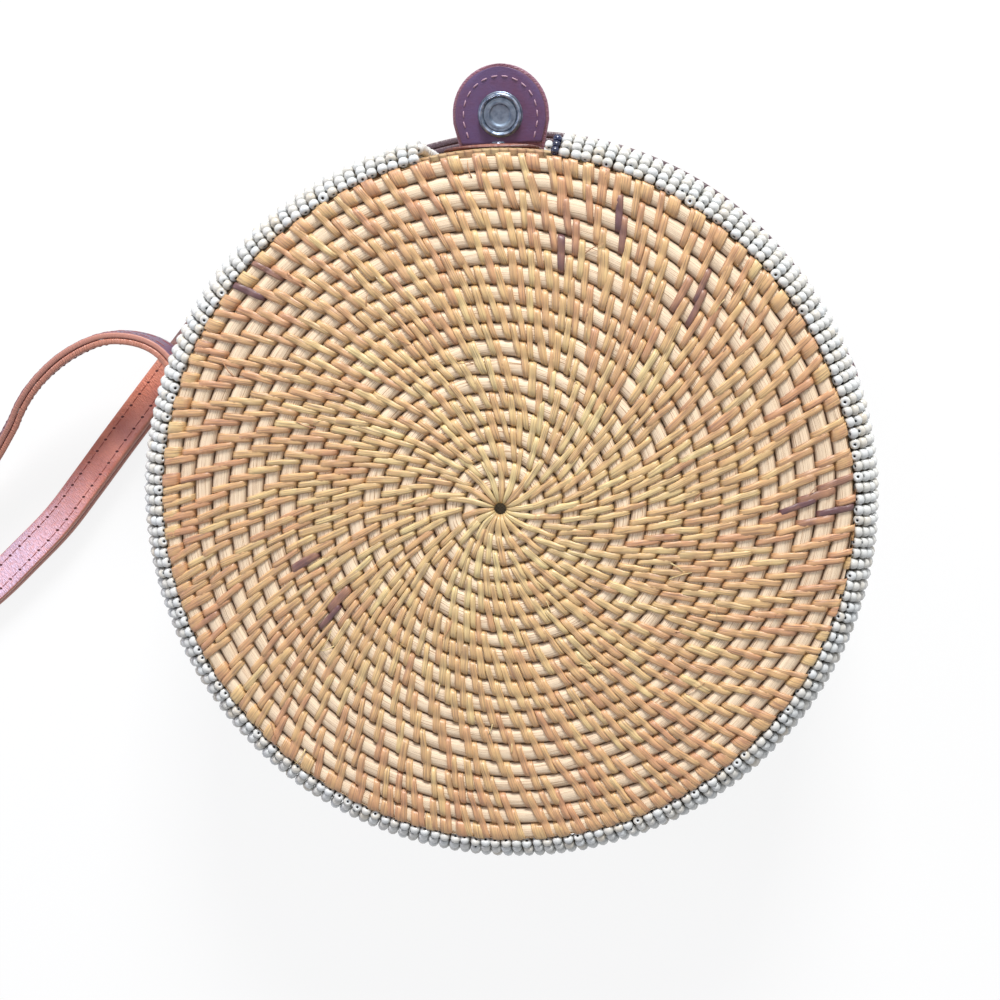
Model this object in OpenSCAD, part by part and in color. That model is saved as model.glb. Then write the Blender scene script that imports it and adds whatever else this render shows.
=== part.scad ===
// A round clamshell bag of coiled rattan with beaded sides. It lies on its back:
// +Z goes from the back disc to the front disc, +Y points to the closure and -Y to the hinge.
// The origin is the middle of the face that it rests on.

/* [Rattan shells] */
// Radius of the coiled front and back discs
disc_r = 92; // [86:1:100]
// Depth of the closed bag, from back face to front face
bag_depth = 70; // [67:1:82]
// Thickness of the coiled rattan
coil_t = 5; // [4.4:0.2:5.6]
// Turns of the coil in each disc
coil_turns = 20; // [16:1:22]
// Air between one turn of the coil and the next
coil_gap = 0.5; // [0.45:0.05:0.8]
// Radius of the hole in the middle of a disc
hole_r = 1.75; // [1.2:0.05:2.6]
// Width of the small wound ring that the coil starts round
eye_w = 1.1; // [0.8:0.1:1.6]
// How far the side wall stands out past the disc
wall_step = 1.6; // [1.2:0.1:2.4]
// Stacked coils in the side wall of one shell
wall_coils = 6; // [4:1:8]
// Depth of the groove between two wall coils
groove = 0.7; // [0.3:0.1:1.2]
// Gap between the rims of the closed shells
rim_gap = 0.8; // [0.6:0.1:1.6]

/* [Beads] */
// Diameter of a bead, which is the width of a row
bead_d = 3; // [2.6:0.1:3.4]
// Pitch of the bead rows round the side
row_pitch = 3.05; // [2.9:0.05:3.6]
// Depth of the valley between two rows
row_valley = 0.8; // [0.4:0.1:1]
// Thickness of the cloth strip that carries the beads
backing_t = 2.1; // [1.6:0.1:2.6]
// Width that the bead band leaves open for the closure
closure_gap = 37; // [34:1:44]

/* [Closure tab] */
// Width of the tab's round head
tab_w = 27; // [24:0.5:30]
// Width of the tab where it folds
neck_w = 23.4; // [20:0.2:24]
// Distance from the fold to the middle of the snap
snap_reach = 9.2; // [8.4:0.1:11]
// Thickness of the outer leather
leather_t = 1.4; // [1.1:0.1:1.6]
// Thickness of the tab's lining
tab_lining_t = 0.9; // [0.6:0.1:1.1]
// Angle at which the open tab stands up from level
tab_rest = 12; // [6:1:20]
// Radius of the snap socket and of its cap
snap_r = 6; // [5.4:0.1:6.4]

/* [Strap] */
// Width of the shoulder strap
strap_w = 11.5; // [10:0.5:13]
// Thickness of the shoulder strap, leather and lining together
strap_t = 3.6; // [3:0.2:4.2]
// Length of the keeper that holds a strap end on the wall
keeper_len = 26; // [22:1:30]

/* [Hinge] */
// Width of the hinge at the bottom of the bag
hinge_w = 40; // [32:1:48]
// Radius of the cane hinge pin
pin_r = 1.5; // [1.2:0.1:1.8]
// Outer radius of the leather loops round the pin
loop_r = 3; // [2.6:0.1:3.3]

/* [Lining] */
// Thickness of the cloth lining
lining_t = 0.6; // [0.5:0.1:1]

/* [Hidden] */

// Clearances and the overrun of cuts
seat = 0.3;
skin = 0.1;
over = 1;
// Facets asked of round shapes
fine = 96;
small = 32;

// Heights of the parting plane and of the rims beside it
mid_z = bag_depth / 2;
half_gap = rim_gap / 2;

// Radii from the middle out: wall, cloth strip, bead rows
wall_r = disc_r + wall_step;
wall_in_r = wall_r - coil_t;
backing_in_r = wall_r + seat;
backing_out_r = backing_in_r + backing_t;
bead_in_r = backing_out_r + seat;
bead_out_r = bead_in_r + bead_d + seat;

// The coil of a disc: start, pitch, steps a turn, and how far its outer face is drawn in
coil_steps = 24;
coil_start = hole_r + eye_w + coil_gap;
coil_pitch = (disc_r + coil_gap - coil_start) / coil_turns;
coil_tail_w = 0.8;
coil_face_share = 0.2;
coil_n = floor(coil_steps * (disc_r - coil_start - coil_tail_w) / coil_pitch);

// The shoulder of the bead band, as depths below the face of the disc
edge_drop = 1;
brow_drop = 3;
cheek_drop = 7;
backing_drop = 6.4;
// Bead rows stop this deep beside the hinge leaf, and at the parting plane elsewhere
hinge_stop = 16;
row_stop = mid_z - half_gap;
// Shares of the band's thickness at which the shoulder's points lie
edge_share = 0.16;
brow_share = 0.62;
cheek_share = 0.95;
// A row that ends early draws its shoulder up to these shares of its depth
edge_pull = 0.14;
inner_edge_pull = 0.28;
brow_pull = 0.45;
inner_cheek_pull = 0.7;
cheek_pull = 0.8;

// Angles of the closure's middle and of the places that the bead band leaves open
closure_at = 90;
closure_half = asin(closure_gap / 2 / bead_in_r);
hinge_side = 2.6;
hinge_half = asin((hinge_w / 2 + hinge_side) / bead_in_r);
keeper_half = asin(keeper_len / 2 / wall_r);
keeper_side = 2.4;
keeper_strap_side = 14.5;
keeper_before = asin((keeper_len / 2 + keeper_side) / wall_r);
keeper_after = asin((keeper_len / 2 + keeper_strap_side) / wall_r);

// The closure: fold axis, snap place and layers out from the wall
fold_out = 2.7;
fold_y = wall_r + fold_out;
fold_drop = 2;
fold_z = mid_z - fold_drop;
fold_r = 1.2;
face_off = 1.7;
head_r = tab_w / 2;
tab_start = 1;
neck_blend = 2;
lining_inset = 0.6;
snap_z = fold_z + snap_reach;
tab_face_y = fold_y + face_off;
patch_t = 1.4;
patch_w = 25;
patch_low = 2;
patch_top_drop = 7;
shank_r = 1.2;
bore_r = shank_r + skin;
stud_flange_r = 4.2;
stud_flange_t = 0.6;
stud_neck_r = 1.5;
stud_head_r = 2.1;
stud_y = wall_r + seat + patch_t + skin;
stud_head_t = 0.7;
stud_short = 0.7;
stud_tip_y = tab_face_y - stud_short;
socket_depth = 1.6;
socket_plate = 0.4;
socket_rim = 1;
socket_play = 0.7;
socket_in_r = stud_head_r + socket_play;
cap_t = 1.1;
root_t = 2;
root_low = 9;
root_rivet_x = 7;
root_rivet_drop = 16;

// Strap keepers: a hat section of leather, riveted through its two flanges. The flanges keep
// their share of the room between the disc and the parting plane.
flange_share = 0.1554;
flange = flange_share * (row_stop - coil_t);
rivet_head_share = 0.4565;
tunnel_t = strap_t + seat;
keeper_h = strap_w + 2 * seat + 2 * leather_t + 2 * flange;
keeper_z = mid_z - half_gap - seat - keeper_h / 2;
// Bead rows of the back shell stop this far from a keeper
keeper_clear = 1.2;
keeper_stop = keeper_z - keeper_h / 2 - keeper_clear;
rivet_side = 7.5;
rivet_head_r = flange * rivet_head_share;
rivet_head_t = 1;
burr_r = 2.2;
burr_t = 0.7;
flange_z = keeper_h / 2 - flange / 2;
rivet_tilt = asin(rivet_side / wall_r);

// The lining lies inside the burrs
lining_r = wall_in_r - burr_t - 2 * seat;
lining_edge_drop = 0.4;

// The hinge: axis just outside the beads, loops that take turns along the pin
hinge_out = 0.6;
hinge_y = -(bead_out_r + hinge_out);
loops = 5;
loop_gap = 0.5;
loop_w = (hinge_w + loop_gap) / loops;
leaf_t = 2.5;
leaf_clear = 0.5;
leaf_end = hinge_stop + seat;
neck_back = 1.5;
pin_head_r = 2.4;
pin_head_t = 1.2;

// The strap's route. Out of the right keeper it goes up, lies against the beads round the top
// of the bag, crosses the table to the left, loops, and comes back on edge to the left keeper.
// Places are shares of the bead band's radius. Lifts are shares of the keeper's height, and a
// lean of 0 stands the strap on edge while 90 lays it flat with its leather up.
rest_z = strap_w / 2 + seat;
anchor_r = wall_r + seat + strap_t / 2;
hug_r = bead_out_r + seat + strap_t / 2 + skin;
anchor_share = 0.75;
anchor_from = -keeper_half * anchor_share;
leave_shares = [[0.955, 0.17, 0.96], [0.972, 0.235, 0.84], [0.982, 0.3, 0.68]];
hug_from = 22;
hug_to = 127;
hug_steps = 12;
hug_settle = 24;
table_shares = [[-0.785, 0.71], [-0.91, 0.585], [-1.035, 0.435], [-1.165, 0.285], [-1.295, 0.135],
    [-1.405, 0.005], [-1.51, -0.115], [-1.63, -0.225], [-1.765, -0.34], [-1.95, -0.47],
    [-2.2, -0.62], [-2.5, -0.79], [-2.8, -0.95], [-3.1, -1.08]];
table_leans = [20, 42, 60, 68, 70, 70, 70, 72, 75, 78, 80, 76, 64, 46];
bend_shares = [[-3.36, -1.13], [-3.58, -1.08], [-3.68, -0.92], [-3.62, -0.74], [-3.42, -0.61]];
bend_leans = [26, 10, 0, 0, 0];
back_shares = [[-3.1, -0.49], [-2.75, -0.38], [-2.4, -0.27], [-2.1, -0.16], [-1.86, -0.05],
    [-1.7, 0.07], [-1.59, 0.2], [-1.53, 0.285], [-1.452, 0.362], [-1.35, 0.43], [-1.235, 0.471],
    [-1.13, 0.465], [-1.05, 0.425], [-0.998, 0.345], [-0.974, 0.25], [-0.951, 0.16]];
back_lifts = [0, 0, 0, 0.06, 0.2, 0.42, 0.62, 0.76, 0.88, 0.97, 1, 1, 1, 1, 1, 1];
back_leans = [0, 0, 0, -4, -12, -20, -22, -20, -14, -8, -3, 0, 0, 0, 0, 0];
strap_steps = 2;

// A point on a circle round the bag's axis
function polar(r, a) = [r * cos(a), r * sin(a)];

// Height of the strap's middle for a share of the way up to the keepers
function lift_z(share) = rest_z + share * (keeper_z - rest_z);

// Height of the strap's middle on the table, for its lean
function lean_z(lean) = seat + cos(lean) * strap_w / 2 + sin(lean) * strap_t / 2;

// The strap's points, each as x, y, z and lean
strap_points = concat(
    [for (a = [anchor_from, 0, keeper_half]) concat(polar(anchor_r, a), [keeper_z, 0])],
    [for (p = leave_shares) [p[0] * bead_out_r, p[1] * bead_out_r, lift_z(p[2]), 0]],
    [for (i = [0 : hug_steps])
        let (a = hug_from + i * (hug_to - hug_from) / hug_steps)
        concat(polar(hug_r, a), [lift_z(max(0, 1 - (a - keeper_half) / hug_settle)), 0])],
    [for (i = [0 : len(table_shares) - 1])
        concat(bead_out_r * table_shares[i], [lean_z(table_leans[i]), table_leans[i]])],
    [for (i = [0 : len(bend_shares) - 1])
        concat(bead_out_r * bend_shares[i], [lean_z(bend_leans[i]), bend_leans[i]])],
    [for (i = [0 : len(back_shares) - 1])
        concat(bead_out_r * back_shares[i], [lift_z(back_lifts[i]), back_leans[i]])],
    [for (a = [180 - keeper_half, 180, 180 - anchor_from]) concat(polar(anchor_r, a), [keeper_z, 0])]
);

// A smooth curve through four points in a row, at the share t between the middle two
function curve(a, b, c, d, t) =
    (2 * b + (c - a) * t + (2 * a - 5 * b + 4 * c - d) * t * t
        + (3 * b - a - 3 * c + d) * t * t * t) / 2;

// All the rings' places along a list of points
function smooth(points, steps) =
    let (last = len(points) - 1)
    concat([for (i = [0 : last - 1], s = [0 : steps - 1])
        curve(points[max(i - 1, 0)], points[i], points[i + 1], points[min(i + 2, last)], s / steps)],
        [points[last]]);

strap_rings = smooth(strap_points, strap_steps);

function unit(v) = v / norm(v);

// Direction of the strap along the table at ring i
function along(i) =
    let (a = strap_rings[max(i - 1, 0)], b = strap_rings[min(i + 1, len(strap_rings) - 1)])
    unit([b[0] - a[0], b[1] - a[1], 0]);

// A corner of the strap at ring i: out from its middle, and across its width
function strap_corner(i, out, across) =
    let (p = strap_rings[i], d = along(i), side = [d[1], -d[0], 0], lean = p[3],
        face = cos(lean) * side + [0, 0, sin(lean)],
        width = [0, 0, cos(lean)] - sin(lean) * side)
    [p[0], p[1], p[2]] + out * face + across * width;

// Triangles of a tube with closed ends: n rings of s points. Its two halves are split along
// the same diagonals, so that tubes that lie face to face fit where they twist.
function tube_faces(n, s) = concat(
    [for (i = [0 : n - 2], j = [0 : s - 1])
        let (a = i * s + j, b = a + s, c = (i + 1) * s + (j + 1) % s, d = c - s)
        each (j < s / 2 ? [[a, b, d], [b, c, d]] : [[a, b, c], [a, c, d]])],
    [for (j = [1 : s - 2]) [0, j, j + 1]],
    [for (j = [1 : s - 2]) [(n - 1) * s, (n - 1) * s + j + 1, (n - 1) * s + j]]
);

// One layer of the strap, from one distance out of its middle to another
module strap_layer(low, high) {
    corners = [[low, -strap_w / 2], [high, -strap_w / 2], [high, strap_w / 2], [low, strap_w / 2]];
    points = [for (i = [0 : len(strap_rings) - 1], c = corners) strap_corner(i, c[0], c[1])];
    polyhedron(points = points, faces = tube_faces(len(strap_rings), len(corners)));
}

// Radii of the coil's two edges after so many steps. The last turn thins out at the disc's edge.
function coil_inner(i) = coil_start + coil_pitch * i / coil_steps;
function coil_outer(i) = min(coil_inner(i) + coil_pitch - coil_gap, disc_r);

// A corner of the coil's section: an edge radius at step i, at height z
function coil_corner(i, r, z) = concat(polar(r, i * 360 / coil_steps), [z]);

// The four corners of the coil at step i, narrower on its outer face
function coil_ring(i) =
    let (a = coil_inner(i), b = coil_outer(i), draw = coil_face_share * (b - a))
    [coil_corner(i, a, 0), coil_corner(i, b, 0), coil_corner(i, b - draw, coil_t),
        coil_corner(i, a + draw, coil_t)];

// Distance of a point from the line through two others
function off_line(p, a, b) = norm(cross(p - a, b - a)) / norm(b - a);

// Least air between a turn of the coil and the next
coil_air = min([for (i = [1 : coil_n - coil_steps - 1])
    let (p = coil_corner(i, coil_outer(i), 0), j = i + coil_steps)
    min(off_line(p, coil_corner(j, coil_inner(j), 0), coil_corner(j + 1, coil_inner(j + 1), 0)),
        off_line(p, coil_corner(j, coil_inner(j), 0), coil_corner(j - 1, coil_inner(j - 1), 0)))]);
echo(str("Least gap of a disc's coil to itself: ", coil_air, " mm"));

// One disc: a single unbroken coil round the small ring that it starts from, its outer face up
module coil_disc() {
    points = [for (i = [0 : coil_n], p = coil_ring(i)) p];
    polyhedron(points = points, faces = tube_faces(coil_n + 1, 4));
    rotate_extrude($fn = small)
        polygon([[hole_r, 0], [hole_r + eye_w, 0], [hole_r + eye_w, coil_t], [hole_r, coil_t]]);
}

// One wall coil's outside: shares of the groove's depth and of the coil's height
wall_coil_shares = [[1, 0.04], [0, 0.3], [0, 0.7], [1, 0.96]];

// A shell's side wall: stacked coils under a disc, from z = 0 down to the rim
module shell_wall() {
    top = -coil_t - skin;
    step = (top + row_stop) / wall_coils;
    outer = [for (i = [0 : wall_coils - 1], p = wall_coil_shares)
        [wall_r - p[0] * groove, top - step * (i + p[1])]];
    rotate_extrude($fn = fine)
        polygon(concat([[wall_in_r, top]], outer, [[wall_in_r, top - step * wall_coils]]));
}

// A shell's cloth lining: a shallow cup inside the wall
module shell_lining() {
    top = -coil_t - seat;
    rotate_extrude($fn = fine)
        polygon([[0, top], [lining_r, top], [lining_r, -row_stop + lining_edge_drop],
            [lining_r - lining_t, -row_stop + lining_edge_drop], [lining_r - lining_t, top - lining_t],
            [0, top - lining_t]]);
}

// Part of a ring round the bag's axis, with its section in radius and height
module arc_of(from, to) {
    rotate([0, 0, from])
        rotate_extrude(angle = to - from, $fn = fine)
            children();
}

// A plain band between two radii and two heights, over an arc
module band(from, to, in_r, out_r, low, high) {
    arc_of(from, to)
        polygon([[in_r, low], [out_r, low], [out_r, high], [in_r, high]]);
}

// The cloth strip under the beads, between two angles
module backing(from, to) {
    band(from, to, backing_in_r, backing_out_r, -row_stop, -backing_drop);
}

// Where the rows start and end round the bag, and how many there are
row_from = closure_at + closure_half;
row_to = closure_at + 360 - closure_half;
row_n = floor((row_to - row_from) / 360 * 2 * PI * bead_out_r / row_pitch);
row_step = (row_to - row_from) / row_n;

// Places where rows stop short: two angles and a depth
hinge_zone = [[270 - hinge_half, 270 + hinge_half, hinge_stop]];
keeper_zones = [[180 - keeper_after, 180 + keeper_before, keeper_stop],
    [360 - keeper_before, 360 + keeper_after, keeper_stop]];

// Depth at which the row at angle a ends
function row_end(a, zones) = min(concat([row_stop], [for (q = zones) if (a > q[0] && a < q[1]) q[2]]));

// The section's points, radius and height: four outside, three inside
function shoulder_r(share) = disc_r + share * (bead_out_r - disc_r);
function bead_outer(a, deep, zones) =
    let (end = row_end(a, zones))
    [[shoulder_r(edge_share) - deep / 3, -min(edge_drop + deep / 2, edge_pull * end + deep / 2)],
        [shoulder_r(brow_share) - deep / 2, -min(brow_drop + deep / 2, brow_pull * end)],
        [shoulder_r(cheek_share) - deep, -min(cheek_drop, cheek_pull * end)],
        [bead_out_r - deep, -end]];
function bead_inner(a, zones) =
    let (end = row_end(a, zones))
    [[disc_r + seat, -min(edge_drop + bead_d / 2, inner_edge_pull * end)],
        [bead_in_r, -min(backing_drop - seat, inner_cheek_pull * end)],
        [bead_in_r, -end]];

function turned(points, a) = [for (p = points) concat(polar(p[0], a), [p[1]])];

// The bead rows as one fluted band: a ridge for each row and a valley between rows
module bead_rows(zones) {
    outside = [for (j = [0 : 2 * row_n])
        let (a = row_from + j * row_step / 2, mid = row_from + (floor(j / 2) + 1 / 2) * row_step)
        each turned(bead_outer(mid, (j + 1) % 2 * row_valley, zones), a)];
    inside = [for (m = [0 : row_n])
        let (a = row_from + m * row_step)
        each turned(bead_inner(a + row_step / 2, zones), a)];
    first = len(outside);
    skins = concat(
        [for (j = [0 : 2 * row_n - 1], k = [0 : 2])
            let (p = 4 * j + k)
            each [[p, p + 1, p + 5], [p, p + 5, p + 4]]],
        [for (m = [0 : row_n - 1], k = [0 : 1])
            let (q = first + 3 * m + k)
            each [[q, q + 4, q + 1], [q, q + 3, q + 4]]],
        [for (m = [0 : row_n - 1])
            let (p = 8 * m, q = first + 3 * m)
            each [[q, p, p + 4], [q, p + 4, q + 3], [q + 3, p + 4, p + 8]]],
        [for (m = [0 : row_n - 1])
            let (p = 8 * m + 3, q = first + 3 * m + 2)
            each [[q, p + 4, p], [q, q + 3, p + 4], [q + 3, p + 8, p + 4]]]);
    e = 8 * row_n;
    f = first + 3 * row_n;
    ends = [[first, 1, 0], [first, first + 1, 1], [first + 1, 2, 1], [first + 1, 3, 2],
        [first + 1, first + 2, 3],
        [f, e, e + 1], [f, e + 1, f + 1], [f + 1, e + 1, e + 2], [f + 1, e + 2, e + 3],
        [f + 1, e + 3, f + 2]];
    polyhedron(points = concat(outside, inside), faces = concat(skins, ends));
}

// Places a piece that is drawn below z = 0 under the front face, or over the back face
module at_front() {
    translate([0, 0, bag_depth])
        children();
}
module at_back() {
    mirror([0, 0, 1])
        children();
}

// A shape along +X, turned to angle a and moved out to radius r at height z
module radial(a, r, z) {
    rotate([0, 0, a])
        translate([r, 0, z])
            rotate([0, 90, 0])
                children();
}

// Places of the rivets: angle, height, and the radius that their heads sit on
rivet_r = wall_r + seat + leather_t;
keeper_rivets = [for (side = [0, 180], tilt = [-rivet_tilt, rivet_tilt], up = [-1, 1])
    [side + tilt, keeper_z + up * flange_z, rivet_r]];
root_tilt = asin(root_rivet_x / wall_r);
root_rivets = [for (tilt = [-root_tilt, root_tilt])
    [closure_at + tilt, mid_z - root_rivet_drop, wall_r + seat + root_t]];
all_rivets = concat(keeper_rivets, root_rivets);

// Bores for the rivets through whatever lies under their heads
module rivet_bores() {
    for (p = all_rivets)
        radial(p[0], wall_in_r - over, p[1])
            cylinder(r = bore_r, h = p[2] - wall_in_r + 2 * over, $fn = small);
}

module back_disc() {
    color("burlywood")
        translate([0, 0, coil_t])
            mirror([0, 0, 1])
                coil_disc();
}

module back_wall() {
    color("tan")
        difference() {
            at_back()
                shell_wall();
            rivet_bores();
        }
}

module back_bead_backing() {
    color("antiquewhite")
        at_back() {
            backing(row_from, 180 - keeper_after);
            backing(180 + keeper_before, 270 - hinge_half);
            backing(270 + hinge_half, 360 - keeper_before);
            backing(360 + keeper_after, row_to);
        }
}

module back_bead_rows() {
    color("ivory")
        at_back()
            bead_rows(concat(hinge_zone, keeper_zones));
}

module back_lining() {
    color("seashell")
        at_back()
            shell_lining();
}

module front_disc() {
    color("burlywood")
        translate([0, 0, bag_depth - coil_t])
            coil_disc();
}

// Bore for the stud's shank, from inside the bag out past the patch
module stud_bore() {
    radial(closure_at, wall_in_r - over, snap_z)
        cylinder(r = bore_r, h = stud_y - wall_in_r + 2 * over, $fn = small);
}

module front_wall() {
    color("tan")
        difference() {
            at_front()
                shell_wall();
            stud_bore();
        }
}

module front_bead_backing() {
    color("antiquewhite")
        at_front() {
            backing(row_from, 270 - hinge_half);
            backing(270 + hinge_half, row_to);
        }
}

module front_bead_rows() {
    color("ivory")
        at_front()
            bead_rows(hinge_zone);
}

// Dark beads at the end of the front band: each a ring strung along the shoulder
accent_hole_r = 0.5;
accent_r = 1.15;
accent_len = 1.9;
accent_end_share = 0.8;
accent_turn = row_to - 360 + asin((accent_r + 2 * seat) / bead_out_r);
accent_slope = 38;
accent_seat_drop = 4.3;
module accent_beads() {
    color("midnightblue")
        at_front()
            rotate([0, 0, accent_turn])
                translate([shoulder_r(brow_share), 0, -accent_seat_drop])
                    rotate([0, 90 + accent_slope, 0])
                        for (k = [-1 : 1])
                            translate([0, 0, k * (accent_len + skin)])
                                accent_bead();
}

module accent_bead() {
    rotate_extrude($fn = small)
        polygon([[accent_hole_r, -accent_len / 2], [accent_r * accent_end_share, -accent_len / 2],
            [accent_r, -accent_len / 4], [accent_r, accent_len / 4],
            [accent_r * accent_end_share, accent_len / 2], [accent_hole_r, accent_len / 2]]);
}

module front_lining() {
    color("seashell")
        at_front()
            shell_lining();
}

module stud_patch() {
    half = asin(patch_w / 2 / wall_r);
    color("sienna")
        difference() {
            band(closure_at - half, closure_at + half, wall_r + seat, wall_r + seat + patch_t,
                mid_z + patch_low, bag_depth - patch_top_drop);
            stud_bore();
        }
}

// The stud, drawn along its axis from the peened end inside the wall to the tip
module snap_stud() {
    color("silver")
        radial(closure_at, 0, snap_z)
            rotate_extrude($fn = small)
                polygon([[0, wall_in_r - burr_t - skin], [shank_r, wall_in_r - burr_t - skin],
                    [shank_r, stud_y], [stud_flange_r, stud_y],
                    [stud_flange_r - seat, stud_y + stud_flange_t],
                    [stud_neck_r, stud_y + stud_flange_t], [stud_neck_r, stud_tip_y - stud_head_t],
                    [stud_head_r, stud_tip_y - stud_head_t + seat], [stud_neck_r, stud_tip_y],
                    [0, stud_tip_y]]);
}

// A washer against the inner face of the wall, where a shank ends
module burr(a, z) {
    radial(a, wall_in_r - burr_t - skin, z)
        difference() {
            cylinder(r = burr_r, h = burr_t, $fn = small);
            translate([0, 0, -over])
                cylinder(r = bore_r, h = burr_t + 2 * over, $fn = small);
        }
}

module stud_burr() {
    color("darkgoldenrod")
        burr(closure_at, snap_z);
}

// Turns the tab from level to the angle at which it rests
module at_fold() {
    translate([0, fold_y, fold_z])
        rotate([tab_rest, 0, 0])
            children();
}

// Outline of the tab, from its fold to its round head, drawn in by an inset
module tab_outline(inset) {
    intersection() {
        translate([0, snap_reach])
            circle(r = head_r - inset, $fn = fine);
        translate([-head_r, tab_start])
            square([tab_w, snap_reach + head_r]);
    }
    polygon([[-neck_w / 2 + inset, tab_start], [neck_w / 2 - inset, tab_start],
        [head_r - inset - skin, snap_reach - neck_blend], [head_r - inset - skin, snap_reach],
        [-head_r + inset + skin, snap_reach], [-head_r + inset + skin, snap_reach - neck_blend]]);
}

// One layer of the tab, between two depths under its fold axis
module tab_layer(inset, low, high) {
    translate([0, 0, low])
        linear_extrude(high - low)
            difference() {
                tab_outline(inset);
                translate([0, snap_reach])
                    circle(r = bore_r, $fn = small);
            }
}

module tab_leather() {
    color("indianred")
        at_fold()
            tab_layer(0, -face_off - tab_lining_t - leather_t, -face_off - tab_lining_t);
}

module tab_lining() {
    color("#5c4568")
        at_fold()
            tab_layer(lining_inset, -face_off - tab_lining_t, -face_off);
}

// Places a snap part on the tab's inner face, its axis up
module on_tab() {
    at_fold()
        translate([0, snap_reach, -face_off])
            children();
}

module snap_socket() {
    step = (snap_r - socket_in_r) / 4;
    color("lightslategray")
        on_tab()
            rotate_extrude($fn = fine)
                polygon([[bore_r, 0], [snap_r, 0], [snap_r, socket_depth - socket_rim / 2],
                    [snap_r - socket_rim / 2, socket_depth], [snap_r - step, socket_depth],
                    [snap_r - 2 * step, socket_depth - socket_plate],
                    [snap_r - 3 * step, socket_depth - socket_plate / 2],
                    [socket_in_r, socket_depth - socket_plate], [socket_in_r, socket_plate],
                    [bore_r, socket_plate]]);
}

module snap_cap() {
    under = -tab_lining_t - leather_t;
    color("lightslategray")
        on_tab()
            rotate_extrude($fn = fine)
                polygon([[0, under - cap_t], [snap_r / 2, under - cap_t],
                    [snap_r - socket_rim, under - cap_t * 3 / 4], [snap_r, under - cap_t / 4],
                    [snap_r, under], [shank_r, under], [shank_r, socket_plate], [0, socket_plate]]);
}

// The sewn-down end of the tab on the back wall, up to the roll that it folds on
module tab_root() {
    half = asin(neck_w / 2 / wall_r);
    color("indianred")
        difference() {
            union() {
                band(closure_at - half, closure_at + half, wall_r + seat, wall_r + seat + root_t,
                    root_low, fold_z);
                translate([-neck_w / 2, fold_y, fold_z])
                    rotate([0, 90, 0])
                        cylinder(r = fold_r, h = neck_w, $fn = small);
                translate([-neck_w / 2, fold_y - root_t, fold_z - fold_r])
                    cube([neck_w, root_t, 2 * fold_r]);
            }
            translate([0, 0, root_low])
                cylinder(r = wall_r + seat, h = bag_depth, $fn = fine);
            rivet_bores();
        }
}

// A rivet with a low domed head at radius r and a shank that ends inside the wall
module rivet(r) {
    rotate_extrude($fn = small)
        polygon([[0, wall_in_r - burr_t - skin], [shank_r, wall_in_r - burr_t - skin], [shank_r, r + skin],
            [rivet_head_r, r + skin], [rivet_head_r - seat, r + skin + rivet_head_t / 2],
            [rivet_head_r / 2, r + skin + rivet_head_t], [0, r + skin + rivet_head_t]]);
}

module rivets() {
    color("goldenrod")
        for (p = all_rivets)
            radial(p[0], 0, p[1])
                rivet(p[2]);
}

module rivet_burrs() {
    color("darkgoldenrod")
        for (p = all_rivets)
            burr(p[0], p[1]);
}

module strap_leather() {
    color("indianred")
        strap_layer(skin / 2, strap_t / 2);
}

module strap_lining() {
    color("#5c4568")
        strap_layer(-strap_t / 2, -skin / 2);
}

// A keeper's section: two flanges on the wall and a tunnel for the strap between them
module keeper(middle) {
    low = wall_r + seat;
    high = low + tunnel_t + leather_t;
    half = keeper_h / 2;
    arch = half - flange;
    color("sienna")
        difference() {
            translate([0, 0, keeper_z])
                arc_of(middle - keeper_half, middle + keeper_half)
                    polygon([[low, -half], [low + leather_t, -half], [low + leather_t, -arch],
                        [high, -arch], [high, arch], [low + leather_t, arch],
                        [low + leather_t, half], [low, half], [low, arch - leather_t],
                        [high - leather_t, arch - leather_t], [high - leather_t, leather_t - arch],
                        [low, leather_t - arch]]);
            rivet_bores();
        }
}

module left_keeper() {
    keeper(180);
}

module right_keeper() {
    keeper(0);
}

// The loops of one leaf along the pin: every second one from a start
module hinge_loops(start, up) {
    for (i = [start : 2 : loops - 1])
        translate([-hinge_w / 2 + i * loop_w, 0, 0])
            hinge_loop(loop_w - loop_gap, up);
}

// One loop and the neck that joins it to its leaf, up or down
module hinge_loop(wide, up) {
    translate([0, hinge_y, mid_z])
        rotate([0, 90, 0])
            cylinder(r = loop_r, h = wide, $fn = small);
    neck_h = loop_r + leaf_clear + over;
    translate([0, hinge_y - neck_back, up > 0 ? mid_z : mid_z - neck_h])
        cube([wide, -hinge_y + neck_back - wall_r / 2, neck_h]);
}

// A leather leaf on the wall with its loops. Drawn for the upper shell, or turned over.
module hinge_leaf(start, up) {
    half = asin(hinge_w / 2 / wall_r);
    near = mid_z + up * (loop_r + leaf_clear);
    far = up > 0 ? bag_depth - leaf_end : leaf_end;
    difference() {
        union() {
            band(270 - half, 270 + half, wall_r + seat, wall_r + seat + leaf_t,
                min(near, far), max(near, far));
            hinge_loops(start, up);
        }
        translate([0, 0, -over])
            cylinder(r = wall_r + seat, h = bag_depth + 2 * over, $fn = fine);
        translate([-hinge_w, hinge_y, mid_z])
            rotate([0, 90, 0])
                cylinder(r = pin_r + seat, h = 2 * hinge_w, $fn = small);
    }
}

module back_hinge_leaf() {
    color("saddlebrown")
        hinge_leaf(0, -1);
}

module front_hinge_leaf() {
    color("saddlebrown")
        hinge_leaf(1, 1);
}

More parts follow.
